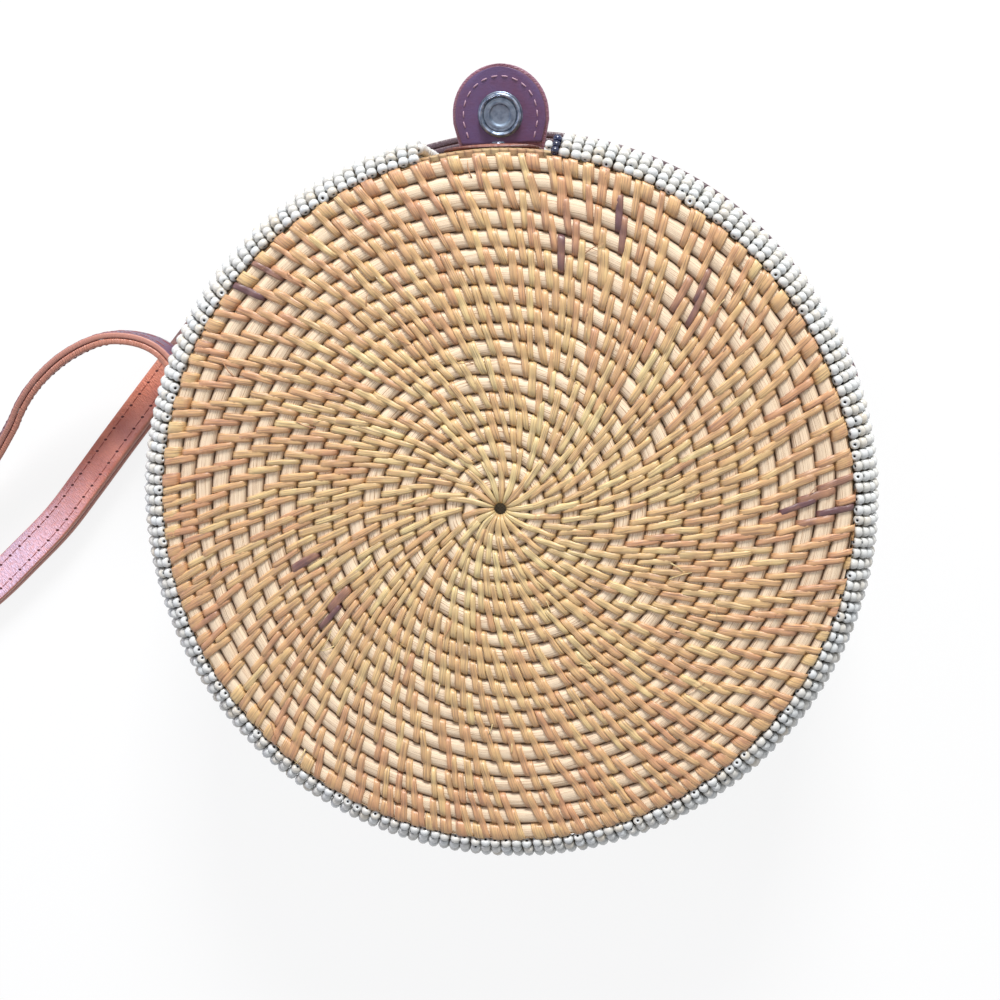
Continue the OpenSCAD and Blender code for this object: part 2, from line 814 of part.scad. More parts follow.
module hinge_pin() {
    reach = hinge_w / 2 + seat;
    color("peru")
        translate([0, hinge_y, mid_z])
            rotate([0, 90, 0])
                rotate_extrude($fn = small)
                    polygon([[0, -reach - pin_head_t], [pin_head_r - seat, -reach - pin_head_t],
                        [pin_head_r, -reach], [pin_r, -reach], [pin_r, reach], [pin_head_r, reach],
                        [pin_head_r - seat, reach + pin_head_t], [0, reach + pin_head_t]]);
}

back_disc();
back_wall();
back_bead_backing();
back_bead_rows();
back_lining();
front_disc();
front_wall();
front_bead_backing();
front_bead_rows();
accent_beads();
front_lining();
stud_patch();
snap_stud();
stud_burr();
tab_leather();
tab_lining();
snap_socket();
snap_cap();
tab_root();
rivets();
rivet_burrs();
strap_leather();
strap_lining();
left_keeper();
right_keeper();
back_hinge_leaf();
front_hinge_leaf();
hinge_pin();
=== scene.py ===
# %% [markdown]
# # A round rattan bag with a beaded side
#
# The bag is a clamshell: two shallow round shells, hinged at the bottom and closed at the top by a
# leather tab with a snap. Each shell has a flat coiled rattan disc and a side wall covered with rows
# of seed beads. It lies on its back, and the camera looks down on the front disc.
#
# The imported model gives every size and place. Each piece below is built in metres, in the model's own
# frame: +Z runs from the back disc to the front disc, and +Y points to the closure.

# %% Load the frame
import math
import random

import bpy
import numpy as np
from mathutils import Matrix, Vector


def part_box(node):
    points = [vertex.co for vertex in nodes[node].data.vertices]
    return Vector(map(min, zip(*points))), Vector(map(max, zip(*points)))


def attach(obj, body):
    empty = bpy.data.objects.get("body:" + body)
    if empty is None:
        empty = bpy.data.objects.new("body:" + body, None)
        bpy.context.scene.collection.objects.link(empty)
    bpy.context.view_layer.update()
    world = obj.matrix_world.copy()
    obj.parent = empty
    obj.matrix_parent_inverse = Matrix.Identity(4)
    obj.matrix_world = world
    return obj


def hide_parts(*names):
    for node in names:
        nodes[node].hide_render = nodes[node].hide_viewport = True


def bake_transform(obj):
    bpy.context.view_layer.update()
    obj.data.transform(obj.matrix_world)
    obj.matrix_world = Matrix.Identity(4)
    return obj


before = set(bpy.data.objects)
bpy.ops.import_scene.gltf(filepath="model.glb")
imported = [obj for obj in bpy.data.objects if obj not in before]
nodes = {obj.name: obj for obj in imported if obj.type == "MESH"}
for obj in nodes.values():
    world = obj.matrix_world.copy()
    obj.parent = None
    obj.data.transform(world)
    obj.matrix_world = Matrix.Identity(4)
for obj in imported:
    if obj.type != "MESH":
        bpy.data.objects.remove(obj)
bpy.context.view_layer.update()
MM = 0.001

# %% Sizes that every piece shares
disc_low, disc_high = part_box("front_disc")
DISC_R = disc_high.x
FRONT_Z = disc_high.z
COIL_T = disc_high.z - disc_low.z
WALL_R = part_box("front_wall")[1].x
BEAD_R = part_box("front_bead_rows")[1].x
MID_Z = FRONT_Z / 2
RIM_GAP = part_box("front_bead_rows")[0].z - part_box("back_bead_rows")[1].z
SEAT = 0.3 * MM
print(f"Disc radius {DISC_R / MM:.1f} mm, beads {BEAD_R / MM:.1f} mm, depth {FRONT_Z / MM:.1f} mm")

# %% [markdown]
# ## Camera, light and floor
#
# The photo was taken from close above, a little from the upper right, so the far side of the band
# shows three or four beads of each row and the near side only two. A camera 36 cm from the disc with
# a normal lens gives that perspective. A short lens further in would bend the circle more.

# %% The camera
PHOTO_W = 1000
CAMERA_DISTANCE = 360 * MM
CAMERA_TILT = math.radians(10.5)
CAMERA_SIDE = math.radians(55.1)
CAMERA_ROLL = math.radians(-1.9)
MM_PER_PIXEL = 0.2636 * MM
DISC_MIDDLE_PX = (499.5, 510)
SENSOR_W = 36


def link_object(name, data):
    """Adds an object with that data to the scene."""
    made = bpy.data.objects.new(name, data)
    bpy.context.scene.collection.objects.link(made)
    return made


def aim_camera():
    """Places a camera so that the middle of the front disc lies at its pixel of the photo."""
    back = Vector((math.sin(CAMERA_TILT) * math.cos(CAMERA_SIDE),
                   math.sin(CAMERA_TILT) * math.sin(CAMERA_SIDE), math.cos(CAMERA_TILT)))
    up = Vector((-math.sin(CAMERA_ROLL), math.cos(CAMERA_ROLL), 0))
    up = (up - back * up.dot(back)).normalized()
    right = up.cross(back)
    off_x = (DISC_MIDDLE_PX[0] - PHOTO_W / 2) * MM_PER_PIXEL
    off_y = (PHOTO_W / 2 - DISC_MIDDLE_PX[1]) * MM_PER_PIXEL
    place = Vector((0, 0, FRONT_Z)) + back * CAMERA_DISTANCE - right * off_x - up * off_y
    data = bpy.data.cameras.new("camera")
    data.sensor_fit = "HORIZONTAL"
    data.sensor_width = SENSOR_W
    data.lens = SENSOR_W * CAMERA_DISTANCE / (MM_PER_PIXEL * PHOTO_W)
    data.clip_start = 10 * MM
    camera = link_object("camera", data)
    camera.matrix_world = Matrix.Translation(place) @ Matrix((right, up, back)).transposed().to_4x4()
    bpy.context.scene.camera = camera
    print(f"Lens {data.lens:.1f} mm")


aim_camera()

# %% [markdown]
# A material is a tree of nodes. Every tree below is made with the same short helper: it adds a node,
# sets its properties and inputs by name, and links an input where it is given another node's output.

# %% A helper that adds nodes
def add(tree, kind, inputs=None, **settings):
    """Adds a node of that kind. inputs maps a socket's name or index to a value or to an output."""
    node = tree.nodes.new(kind)
    for name, value in settings.items():
        setattr(node, name, value)
    for name, value in (inputs or {}).items():
        if isinstance(value, bpy.types.NodeSocket):
            tree.links.new(value, node.inputs[name])
        else:
            node.inputs[name].default_value = value
    return node


def colour(red, green, blue):
    """A colour as it is seen on a screen, turned into the linear values that a shader takes."""
    return [((c + 0.055) / 1.055) ** 2.4 if c > 0.04045 else c / 12.92 for c in (red, green, blue)] + [1]


def math_node(tree, operation, a, b=0.0, clamp=False):
    """The output of a Math node."""
    return add(tree, "ShaderNodeMath", {0: a, 1: b}, operation=operation, use_clamp=clamp).outputs[0]


# %% The floor, the white surroundings and the lamps
FLOOR_SIZE = 6
FLOOR_UNDER = 0.2 * MM
FLOOR_SHADOW = 0.14
FLOOR_COLOUR = colour(0.96, 0.96, 0.96)
WORLD_LIGHT = 0.535
WORLD_COLOUR = colour(0.97, 0.98, 1.0)
WHITE = (1, 1, 1, 1)
KEY_WATTS = 26
KEY_SIZE = 0.4
KEY_PLACE = (0.15, 1.2, 0.66)
KEY_AIM = (0, 0, MID_Z)
SIDE_WATTS = 2.2
SIDE_SIZE = 0.3
SIDE_PLACE = (-1.0, 0.2, 0.62)
SIDE_AIM = (-0.2, 0, 0)
SIDE_COLOUR = (0.84, 0.80, 1.0)


def seen_rays(tree):
    """1 for the rays that see the surroundings: the camera's own, and those off gloss or through glass."""
    path = add(tree, "ShaderNodeLightPath")
    seen = math_node(tree, "MAXIMUM", path.outputs["Is Camera Ray"], path.outputs["Is Glossy Ray"])
    return math_node(tree, "MAXIMUM", seen, path.outputs["Is Transmission Ray"])


def make_floor():
    """A wide plain floor that looks white to the camera and still shows a soft shadow."""
    s = FLOOR_SIZE / 2
    mesh = bpy.data.meshes.new("floor")
    mesh.from_pydata([(-s, -s, 0), (s, -s, 0), (s, s, 0), (-s, s, 0)], [], [(0, 1, 2, 3)])
    floor = link_object("floor", mesh)
    floor.location.z = -FLOOR_UNDER
    mat = bpy.data.materials.new("floor")
    mat.use_nodes = True
    tree = mat.node_tree
    tree.nodes.clear()
    plain = add(tree, "ShaderNodeBsdfDiffuse", {"Color": FLOOR_COLOUR})
    white = add(tree, "ShaderNodeEmission", {"Color": WHITE, "Strength": 1.0})
    share = math_node(tree, "MULTIPLY", seen_rays(tree), 1 - FLOOR_SHADOW)
    mix = add(tree, "ShaderNodeMixShader", {0: share, 1: plain.outputs[0], 2: white.outputs[0]})
    add(tree, "ShaderNodeOutputMaterial", {"Surface": mix.outputs[0]})
    mesh.materials.append(mat)


def make_world():
    """A world that lights softly from all sides and is white where the camera sees it."""
    world = bpy.data.worlds.new("studio")
    bpy.context.scene.world = world
    world.use_nodes = True
    tree = world.node_tree
    tree.nodes.clear()
    soft = add(tree, "ShaderNodeBackground", {"Color": WORLD_COLOUR, "Strength": WORLD_LIGHT})
    white = add(tree, "ShaderNodeBackground", {"Color": WHITE, "Strength": 1.0})
    mix = add(tree, "ShaderNodeMixShader", {0: seen_rays(tree), 1: soft.outputs[0], 2: white.outputs[0]})
    add(tree, "ShaderNodeOutputWorld", {"Surface": mix.outputs[0]})


def add_lamp(name, place, aim, watts, size, tint=(1, 1, 1)):
    """A square soft lamp at a place, turned towards a point."""
    data = bpy.data.lights.new(name, "AREA")
    data.energy = watts
    data.color = tint
    data.size = size
    lamp = link_object(name, data)
    lamp.location = place
    lamp.rotation_euler = (Vector(aim) - Vector(place)).to_track_quat("-Z", "Y").to_euler()


make_floor()
make_world()
add_lamp("key_lamp", KEY_PLACE, KEY_AIM, KEY_WATTS, KEY_SIZE)
add_lamp("side_lamp", SIDE_PLACE, SIDE_AIM, SIDE_WATTS, SIDE_SIZE, SIDE_COLOUR)
bpy.context.scene.view_settings.view_transform = "Standard"

# %% [markdown]
# ## Meshes from arrays
#
# A woven disc has over a thousand strips and the two bands over five thousand beads. Each is a small grid
# of points, so the whole set is one array, and one pattern of faces is repeated over it. That is far
# quicker than adding an object for each strip or bead, and the mesh stays one piece of the bag.

# %% Grids of faces
def tube_quads(rings, sides):
    """Faces of a closed tube: rings of points, with both ends capped by quads."""
    i, j = np.meshgrid(np.arange(rings - 1), np.arange(sides), indexing="ij")
    a = (i * sides + j).ravel()
    b = (i * sides + (j + 1) % sides).ravel()
    walls = np.stack([a, a + sides, b + sides, b], 1)
    fan = np.array([[0, 2 * k + 1, 2 * k + 2, 2 * k + 3] for k in range(sides // 2 - 1)])
    last = (rings - 1) * sides
    return np.concatenate([walls, fan, last + fan[:, ::-1]])


def loop_quads(rings, sides):
    """Faces of a ring of profiles that closes on itself, such as a bead round its hole."""
    i, j = np.meshgrid(np.arange(rings), np.arange(sides), indexing="ij")
    a = (i * sides + j).ravel()
    b = (i * sides + (j + 1) % sides).ravel()
    c = ((i + 1) % rings * sides + (j + 1) % sides).ravel()
    d = ((i + 1) % rings * sides + j).ravel()
    return np.stack([a, b, c, d], 1)


def repeated(quads, copies, points):
    """The same faces for that many copies of a shape with that many points."""
    return (quads[None] + (np.arange(copies) * points)[:, None, None]).reshape(-1, 4)


def facing_out(points, quads):
    """The faces, all turned over if they look inwards, which makes their volume negative."""
    a, b, c, d = (points[quads[:, k]] for k in range(4))
    volume = np.einsum("ij,ij->", a, np.cross(b, c)) + np.einsum("ij,ij->", a, np.cross(c, d))
    return quads if volume > 0 else quads[:, ::-1]


def running(path):
    """The length of a path up to each of its points."""
    return np.concatenate([[0], np.cumsum(np.linalg.norm(np.diff(path, axis=0), axis=1))])


def unit(rows):
    """Each row as a direction of length one."""
    return rows / np.linalg.norm(rows, axis=1, keepdims=True)


# %% [markdown]
# Every maker of a shape below returns the same three things: its points, its faces, and its values, which
# map an attribute's name to one value a point. One function turns them into a piece that rides on a body.

# %% From arrays to a piece
def make_piece(name, shape, body, material, replaces=()):
    """Makes a mesh piece of a shape. It rides on a body, unless body is None."""
    points, quads, values = shape
    mesh = bpy.data.meshes.new(name)
    points = np.asarray(points, float).reshape(-1, 3)
    quads = facing_out(points, np.asarray(quads))
    mesh.vertices.add(len(points))
    mesh.vertices.foreach_set("co", points.astype(np.float32).ravel())
    mesh.loops.add(quads.size)
    mesh.loops.foreach_set("vertex_index", quads.astype(np.int32).ravel())
    mesh.polygons.add(len(quads))
    mesh.polygons.foreach_set("loop_start", np.arange(0, quads.size, quads.shape[1], dtype=np.int32))
    mesh.update(calc_edges=True)
    mesh.polygons.foreach_set("use_smooth", np.full(len(quads), True))
    for key, value in values.items():
        value = np.asarray(value, np.float32)
        kind, field = ("FLOAT_VECTOR", "vector") if value.shape[-1] == 3 else ("FLOAT", "value")
        mesh.attributes.new(key, kind, "POINT").data.foreach_set(field, value.ravel())
    mesh.validate()
    mesh.materials.append(material)
    piece = link_object(name, mesh)
    if body:
        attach(piece, body)
    if replaces:
        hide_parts(*replaces)
    print(f"{name}: {len(points)} points, {len(quads)} faces")
    return piece


# %% [markdown]
# ## Finishes that several materials share
# On the core, the beads and the strap, `tone` also carries painted shade, and on the strap a painted sheen.
#
# Split cane, leather and cloth all show fine detail that follows the piece and not the room. Each mesh
# therefore carries a vector attribute, `grain`, with metres along the piece in X, across it in Y and
# a number of its own in Z, and a float attribute, `tone`, that tells one strip or bead from the next.
# The effects are node groups with named inputs, built once and placed in each material.

# %% Group: fibres that run along a strip
def new_group(name, inputs, outputs):
    """An empty shader group with named sockets, and its input and output nodes."""
    group = bpy.data.node_groups.new(name, "ShaderNodeTree")
    kinds = {"value": "NodeSocketFloat", "colour": "NodeSocketColor", "vector": "NodeSocketVector"}
    for label, kind, default in inputs:
        socket = group.interface.new_socket(label, in_out="INPUT", socket_type=kinds[kind])
        if default is not None:
            socket.default_value = default
    for label, kind in outputs:
        group.interface.new_socket(label, in_out="OUTPUT", socket_type=kinds[kind])
    return group, add(group, "NodeGroupInput"), add(group, "NodeGroupOutput")


def mix_colour(tree, share, a, b):
    """The output of a node that mixes two colours. Its colour sockets have no names of their own."""
    return add(tree, "ShaderNodeMix", {0: share, 6: a, 7: b}, data_type="RGBA").outputs[2]


def noise(tree, place, scale, detail, roughness=0.5):
    """The value of a noise at a place."""
    return add(tree, "ShaderNodeTexNoise", {"Vector": place, "Scale": scale, "Detail": detail,
                                            "Roughness": roughness}).outputs[0]


def stretched(tree, place, factors):
    """A place multiplied along each axis by a factor of its own."""
    return add(tree, "ShaderNodeVectorMath", {0: place, 1: factors}, operation="MULTIPLY").outputs[0]


BLOTCHES = (260.0, 260.0, 1.0)


def make_fibres():
    """Fine streaks along a strip of cane, and slow blotches across many of them."""
    group, given, out = new_group(
        "fibres",
        [("Grain", "vector", None), ("Fineness", "value", 3000.0), ("Length", "value", 120.0)],
        [("Streaks", "value"), ("Blotches", "value")])
    grain = given.outputs["Grain"]
    fine = add(group, "ShaderNodeCombineXYZ", {"X": given.outputs["Length"],
                                               "Y": given.outputs["Fineness"], "Z": 1.0})
    streaks = noise(group, stretched(group, grain, fine.outputs[0]), 1.0, 3.0, 0.65)
    group.links.new(streaks, out.inputs["Streaks"])
    blotches = noise(group, stretched(group, grain, BLOTCHES), 1.0, 2.0)
    group.links.new(blotches, out.inputs["Blotches"])
    return group


FIBRES = make_fibres()


def place_group(tree, group, inputs):
    """Places a group in a tree, with inputs by name."""
    return add(tree, "ShaderNodeGroup", inputs, node_tree=group)


def new_material(name, **sockets):
    """A material with one Principled shader. Returns the material, its tree and the shader."""
    mat = bpy.data.materials.new(name)
    mat.use_nodes = True
    tree = mat.node_tree
    shader = next(n for n in tree.nodes if n.type == "BSDF_PRINCIPLED")
    for label, value in sockets.items():
        shader.inputs[label.replace("_", " ")].default_value = value
    return mat, tree, shader


def ramp(tree, factor, stops):
    """A colour ramp from a list of places and colours."""
    node = add(tree, "ShaderNodeValToRGB", {"Fac": factor})
    band = node.color_ramp
    for place, shade in stops[1:-1]:
        band.elements.new(place).color = shade
    band.elements[0].position, band.elements[0].color = stops[0]
    band.elements[-1].position, band.elements[-1].color = stops[-1]
    return node.outputs["Color"]


def bump(tree, shader, height, strength, distance):
    """Feeds a height into the shader's normal."""
    node = add(tree, "ShaderNodeBump", {"Height": height, "Strength": strength, "Distance": distance})
    tree.links.new(node.outputs[0], shader.inputs["Normal"])


def attribute(tree, name, output="Vector"):
    """What an attribute of the mesh holds."""
    return add(tree, "ShaderNodeAttribute", attribute_name=name).outputs[output]


# %% [markdown]
# ## Rattan
#
# The disc is a thick core of split cane that spirals out from the middle. Each stitch is a flat strip of
# skin cane that runs over two turns of the core and dives between them at both ends. Cane is cream inside
# and straw coloured outside, pale green-yellow near the middle of this disc and redder at its rim, and a
# few strips are stained plum brown. A thin varnish makes the strips glossy.

# %% Material: the cream core
CORE_CREAM = colour(0.99, 0.91, 0.79)
CORE_SHADE = colour(0.66, 0.51, 0.37)
# A dark cane brown, used for fibre lines and for painted shade.
DARK_CANE_AND_SHADE = colour(0.40, 0.28, 0.20)


def make_core_material():
    """Cream split cane with fine lines along the coil. A painted shade darkens it where it sinks between two
    turns.
    """
    mat, tree, shader = new_material("rattan_core", Roughness=0.55)
    cane = place_group(tree, FIBRES, {"Grain": attribute(tree, "grain"), "Fineness": 2600.0, "Length": 90.0})
    lines = ramp(tree, cane.outputs["Streaks"], [(0.38, CORE_SHADE), (0.48, CORE_CREAM), (0.75, CORE_CREAM)])
    tinted = mix_colour(tree, math_node(tree, "MULTIPLY", cane.outputs["Blotches"], 0.5), lines, CORE_SHADE)
    # Painted shade where the core sinks between two turns, read from its tone attribute.
    sunk_shade = attribute(tree, "tone", "Fac")
    tree.links.new(mix_colour(tree, sunk_shade, tinted, DARK_CANE_AND_SHADE), shader.inputs["Base Color"])
    bump(tree, shader, cane.outputs["Streaks"], 0.5, 0.25 * MM)
    return mat


# %% Material: the strips
STRIP_PALE = colour(0.86, 0.77, 0.55)
STRIP_STRAW = colour(0.83, 0.68, 0.47)
STRIP_PINK = colour(0.78, 0.58, 0.42)
STRIP_STAIN = colour(0.38, 0.25, 0.26)
STRIP_COAT = 0.3


def make_strip_material():
    """Varnished skin cane. tone runs from pale to pink within 0 to 1, and is over 1 on a stained strip."""
    mat, tree, shader = new_material("rattan_strip", Coat_Roughness=0.3, Coat_Weight=STRIP_COAT)
    cane = place_group(tree, FIBRES, {"Grain": attribute(tree, "grain"), "Fineness": 3400.0, "Length": 140.0})
    tone = attribute(tree, "tone", "Fac")
    spread = math_node(tree, "MULTIPLY", math_node(tree, "SUBTRACT", cane.outputs["Blotches"], 0.5), 0.5)
    hue = ramp(tree, math_node(tree, "ADD", math_node(tree, "MULTIPLY", tone, 0.5), spread),
               [(0.0, STRIP_PALE), (0.25, STRIP_STRAW), (0.5, STRIP_PINK), (0.62, STRIP_PINK),
                (0.95, STRIP_STAIN)])
    dark = math_node(tree, "SUBTRACT", 0.56, cane.outputs["Streaks"], clamp=True)
    streaked = mix_colour(tree, math_node(tree, "MULTIPLY", dark, 4.5, clamp=True), hue,
                          mix_colour(tree, 0.6, hue, STRIP_STAIN))
    tree.links.new(streaked, shader.inputs["Base Color"])
    rough = math_node(tree, "ADD", math_node(tree, "MULTIPLY", cane.outputs["Streaks"], 0.25), 0.28)
    tree.links.new(rough, shader.inputs["Roughness"])
    bump(tree, shader, cane.outputs["Streaks"], 0.7, 0.25 * MM)
    return mat


CORE_MATERIAL = make_core_material()
STRIP_MATERIAL = make_strip_material()

# %% [markdown]
# The coil is a spiral, so its edge would be a step and not a circle. On a real disc the last turn is
# shaved thin and the weaver pulls the turns outwards. The function below does the same: it pushes each
# point out by a length that depends on its angle, most at the rim and not at all near the middle.

# %% The spiral that core and stitches share
TURNS = 20
HOLE_R = 1.75 * MM
COIL_START = 3.35 * MM
PITCH = (DISC_R + 0.5 * MM - COIL_START) / TURNS
LAST_TURN = TURNS - 1
TAPER_FROM = 0.89
PUSH_FROM = 38 * MM
CROWN_DROP = 1.2 * MM
CROWN_POWER = 3
STRIP_T = 0.7 * MM
CORE_UNDER = STRIP_T * 1.25
STRAY_WAVES = ((0.2, 5, 310, 0), (0.14, 11, -570, 2))
STRAY_INSIDE = 20 * MM
STRAY_TO, STRAY_FADE = 82 * MM, 8 * MM
TAU = 2 * math.pi


def smooth_step(x):
    """0 up to x = 0, 1 from x = 1 on, and a soft change between."""
    x = np.clip(x, 0, 1)
    return x * x * (3 - 2 * x)


def spiral_r(t):
    """Radius of the boundary between turns, t turns along the spiral."""
    return COIL_START + PITCH * np.asarray(t, float)


def wobble(r, angle):
    """How far the turns stray from an even spiral, nothing in the middle and at the rim."""
    stray = sum(size * np.sin(count * angle + out * r + shift) for size, count, out, shift in STRAY_WAVES)
    return stray * MM * smooth_step(r / STRAY_INSIDE) * (1 - smooth_step((r - STRAY_TO) / STRAY_FADE))


def pushed(r, angle, limit):
    """A radius after the turns are pulled out to a round rim."""
    share = (np.asarray(angle) / TAU) % 1.0
    room = DISC_R - spiral_r(LAST_TURN + share)
    at_taper = DISC_R - spiral_r(LAST_TURN + TAPER_FROM)
    at_end = DISC_R - spiral_r(LAST_TURN)
    close = at_taper + (at_end - at_taper) * (share - TAPER_FROM) / (1 - TAPER_FROM)
    room = np.where(share > TAPER_FROM, close, room)
    weight = smooth_step((r - PUSH_FROM) / (DISC_R - PUSH_FROM))
    return np.minimum(r + room * weight + wobble(r, angle), limit)


def crown(across):
    """How far the core's top lies under the disc's face, across one turn from 0 to 1."""
    return CROWN_DROP * np.abs(2 * (across % 1.0) - 1) ** CROWN_POWER


def on_disc(r, angle, depth, limit=DISC_R):
    """Points at radii and angles, so far under the face. The last axis is x, y, z with z up to 0."""
    r = pushed(r, angle, limit)
    return np.stack([r * np.cos(angle), r * np.sin(angle), -depth], -1)


# %% [markdown]
# The stitches are laid as a weaver lays them. The first turn has eighteen. From then on each stitch is
# placed beside one stitch of the turn before, a little further round, which makes the swirling arms. Where
# the turns have grown so long that two stitches stand too far apart, an extra one goes between them.

# %% Where the stitches go
FIRST_STITCHES = 18
FIRST_TURN_AT = -0.5
SLANT = math.radians(18)
STITCH_SIDE = 1.4 * MM
MOST_SPACING_INSIDE = 4.9 * MM
MOST_SPACING_OUTSIDE = 7.4 * MM
LEAST_SPACING = 3.2 * MM
SPACING_FROM, SPACING_OVER = 15 * MM, 45 * MM
PLACE_SPREAD_MM = 0.15


def most_spacing(r):
    """How far apart two stitches may stand: closer in the middle of the disc."""
    share = smooth_step((r - SPACING_FROM) / SPACING_OVER)
    return MOST_SPACING_INSIDE + (MOST_SPACING_OUTSIDE - MOST_SPACING_INSIDE) * share


def stitch_places(rng):
    """Places of the stitches' inner ends, in turns along the spiral."""
    places = [FIRST_TURN_AT + i / FIRST_STITCHES for i in range(FIRST_STITCHES)]
    k = 0
    while places[-1] < LAST_TURN - 1:
        r = spiral_r(places[k] + 1)
        stray = rng.uniform(-PLACE_SPREAD_MM, PLACE_SPREAD_MM) * MM
        ahead = (PITCH * math.tan(SLANT) + STITCH_SIDE + stray) / (TAU * r)
        child = places[k] + 1 + ahead
        apart = (child - places[-1]) * TAU * r
        if apart > most_spacing(r):
            places.append((child + places[-1]) / 2)
        if apart > LEAST_SPACING * 0.5:
            places.append(child)
        k += 1
    return np.array(places)


STITCHES = stitch_places(random.Random(4))
print("Stitches in a disc:", len(STITCHES))

# %% [markdown]
# A strip's cross-section is a low arch. Its path climbs out of the gap between two turns, bends over both
# crowns with a slight dip between them, and dives again. Every strip gets a slightly
# different width, slant, height and tone from a seeded random generator, so each run gives the same disc.

# %% Strips from arrays
STRIP_W = 1.85 * MM
STRIP_DIP = 0.42 * MM
STRIP_DIVE = 1.0 * MM
DIVE_SHARE = 0.07
STRIP_U = np.array([-0.05, 0.02, 0.08, 0.2, 0.45, 0.75, 0.93, 1.07, 1.25, 1.55, 1.8, 1.92, 1.98, 2.05])
WRAP_U = np.array([-0.05, 0.02, 0.08, 0.2, 0.4, 0.6, 0.8, 0.92, 1.0, 1.06, 1.12])
STRIP_SECTION = np.array([[-0.5, -0.6], [-0.5, 0.08], [-0.42, 0.36], [-0.16, 0.5],
                          [0.16, 0.5], [0.42, 0.36], [0.5, 0.08], [0.5, -0.6]])
GRAIN_SHIFT = 3.7


def lying(u, ends_at):
    """Depth of a strip's middle, u turns along it. It dips less than the core between two crowns."""
    bridged = np.where(np.abs(u - 1) < 0.5, np.minimum(crown(u), STRIP_DIP), crown(u))
    rest = crown(u) if ends_at < 2 else bridged
    dive = np.exp(-((u - STRIP_U[0]) / DIVE_SHARE) ** 2) + np.exp(-((ends_at - u) / DIVE_SHARE) ** 2)
    return CORE_UNDER - STRIP_T * 0.42 + rest + STRIP_DIVE * dive


def strips(r, angle, depth, side, width, thick, length, tones):
    """Points and values of many strips. r, angle and depth hold one row a strip, side its shift round the
    disc, and length and tones one number a strip."""
    across = width[..., None] * STRIP_SECTION[:, 0]
    turned = angle[..., None] + (side[..., None] + across) / np.maximum(r, HOLE_R)[..., None]
    under = np.broadcast_to(depth[..., None] - thick * STRIP_SECTION[:, 1], turned.shape)
    points = on_disc(np.broadcast_to(r[..., None], turned.shape), turned, under)
    along = np.linspace(0, 1, r.shape[1])[None, :, None] * np.reshape(length, (-1, 1, 1))
    own = np.arange(len(r), dtype=float)[:, None, None] * GRAIN_SHIFT
    grain = np.stack([np.broadcast_to(v, turned.shape) for v in (along, across, own)], -1)
    return points, {"grain": grain, "tone": np.broadcast_to(tones[:, None, None], turned.shape)}


STAINS = ((25, 67, 7), (20, 71, 5), (-45, -25, 4), (-51, -8, 5), (80, -2, 8), (50, 50, 5), (-84, -30, 4),
          (33, 69, 4), (-60, 62, 4))
TONE_MIDDLE, TONE_RISE, TONE_SPREAD, TONE_MOST = 0.2, 0.6, 0.18, 1.05
STAINED_SHARE = 0.75
STAINED_TONES = (1.35, 1.9)


def strip_tones(r, angle, rng):
    """Tones from pale in the middle to pink at the rim, with a few strips stained."""
    tones = TONE_MIDDLE + TONE_RISE * (r / DISC_R) + rng.normal(0, TONE_SPREAD, len(r))
    tones = np.clip(tones, 0.0, TONE_MOST)
    x, y = r * np.cos(angle) / MM, r * np.sin(angle) / MM
    for sx, sy, reach in STAINS:
        near = np.hypot(x - sx, y - sy) < reach
        stained = near & (rng.random(len(r)) < STAINED_SHARE)
        tones = np.where(stained, rng.uniform(*STAINED_TONES, len(r)), tones)
    return tones


# %% The stitches of one disc
SPOKE_FROM = HOLE_R * 0.9
SPOKE_LEAN = 0.35
LEAN_SPREAD = 0.16
SIDE_SPREAD = 0.12 * MM
WIDTH_SPREAD = 0.1
WIDE_SHARE, WIDE_BY = 0.05, 1.25
SUNK_MM = (-0.05, 0.18)
RIM_DROP = 2.6 * MM


def smooth_room(r):
    """Strips are narrower near the middle, where they crowd."""
    return 0.85 + 0.15 * smooth_step(r / (45 * MM))


def disc_stitches(seed):
    """Points and values of the long stitches, in the disc's own frame with its face at z = 0."""
    rng = np.random.default_rng(seed)
    t = STITCHES[:, None]
    one_each = (len(STITCHES), 1)
    u = STRIP_U[None]
    first = spiral_r(t)
    r = first + PITCH * u
    spoke = t < FIRST_TURN_AT + 1
    r = np.where(spoke, SPOKE_FROM + (r[:, -1:] - SPOKE_FROM) * (np.maximum(u, 0) / 2) ** 0.9, r)
    angle = np.broadcast_to(TAU * t, r.shape)
    lean = math.tan(SLANT) * (1 + rng.normal(0, LEAN_SPREAD, one_each))
    side = PITCH * u * lean + rng.normal(0, SIDE_SPREAD, one_each)
    side = np.where(spoke, side * SPOKE_LEAN * u, side)
    wide = STRIP_W * (1 + rng.normal(0, WIDTH_SPREAD, one_each)) * smooth_room(first)
    wide = np.where(rng.random(one_each) < WIDE_SHARE, wide * WIDE_BY, wide)
    swell = 0.9 + 0.1 * np.sin(np.pi * u / 2) + rng.normal(0, 0.04, r.shape)
    width = wide * swell
    crowd = np.minimum(1, np.maximum(r, HOLE_R) * TAU / FIRST_STITCHES / width * 0.98)
    width = np.where(spoke, width * crowd, width)
    depth = lying(u, STRIP_U[-1]) - rng.uniform(*SUNK_MM, one_each) * MM
    rim = t > LAST_TURN - 2.02
    depth = np.where(rim, lying(u, 3) + np.clip((u - 1.96) / 0.08, 0, 1) * RIM_DROP, depth)
    tones = strip_tones(r[:, len(STRIP_U) // 2], TAU * STITCHES, rng)
    return strips(r, angle, depth, side, width, STRIP_T, 2 * PITCH, tones)


# %% [markdown]
# Between the long stitches of the outermost turn sit short wide wraps of a browner cane, which also go
# down over the edge. They are made the same way, over one turn only.

# %% The wide wraps of the rim
WRAP_LEAST, WRAP_MOST = 1.5 * MM, 3.3 * MM
WRAP_ROOM = 1.9 * MM
WRAP_DROP = 2.8 * MM


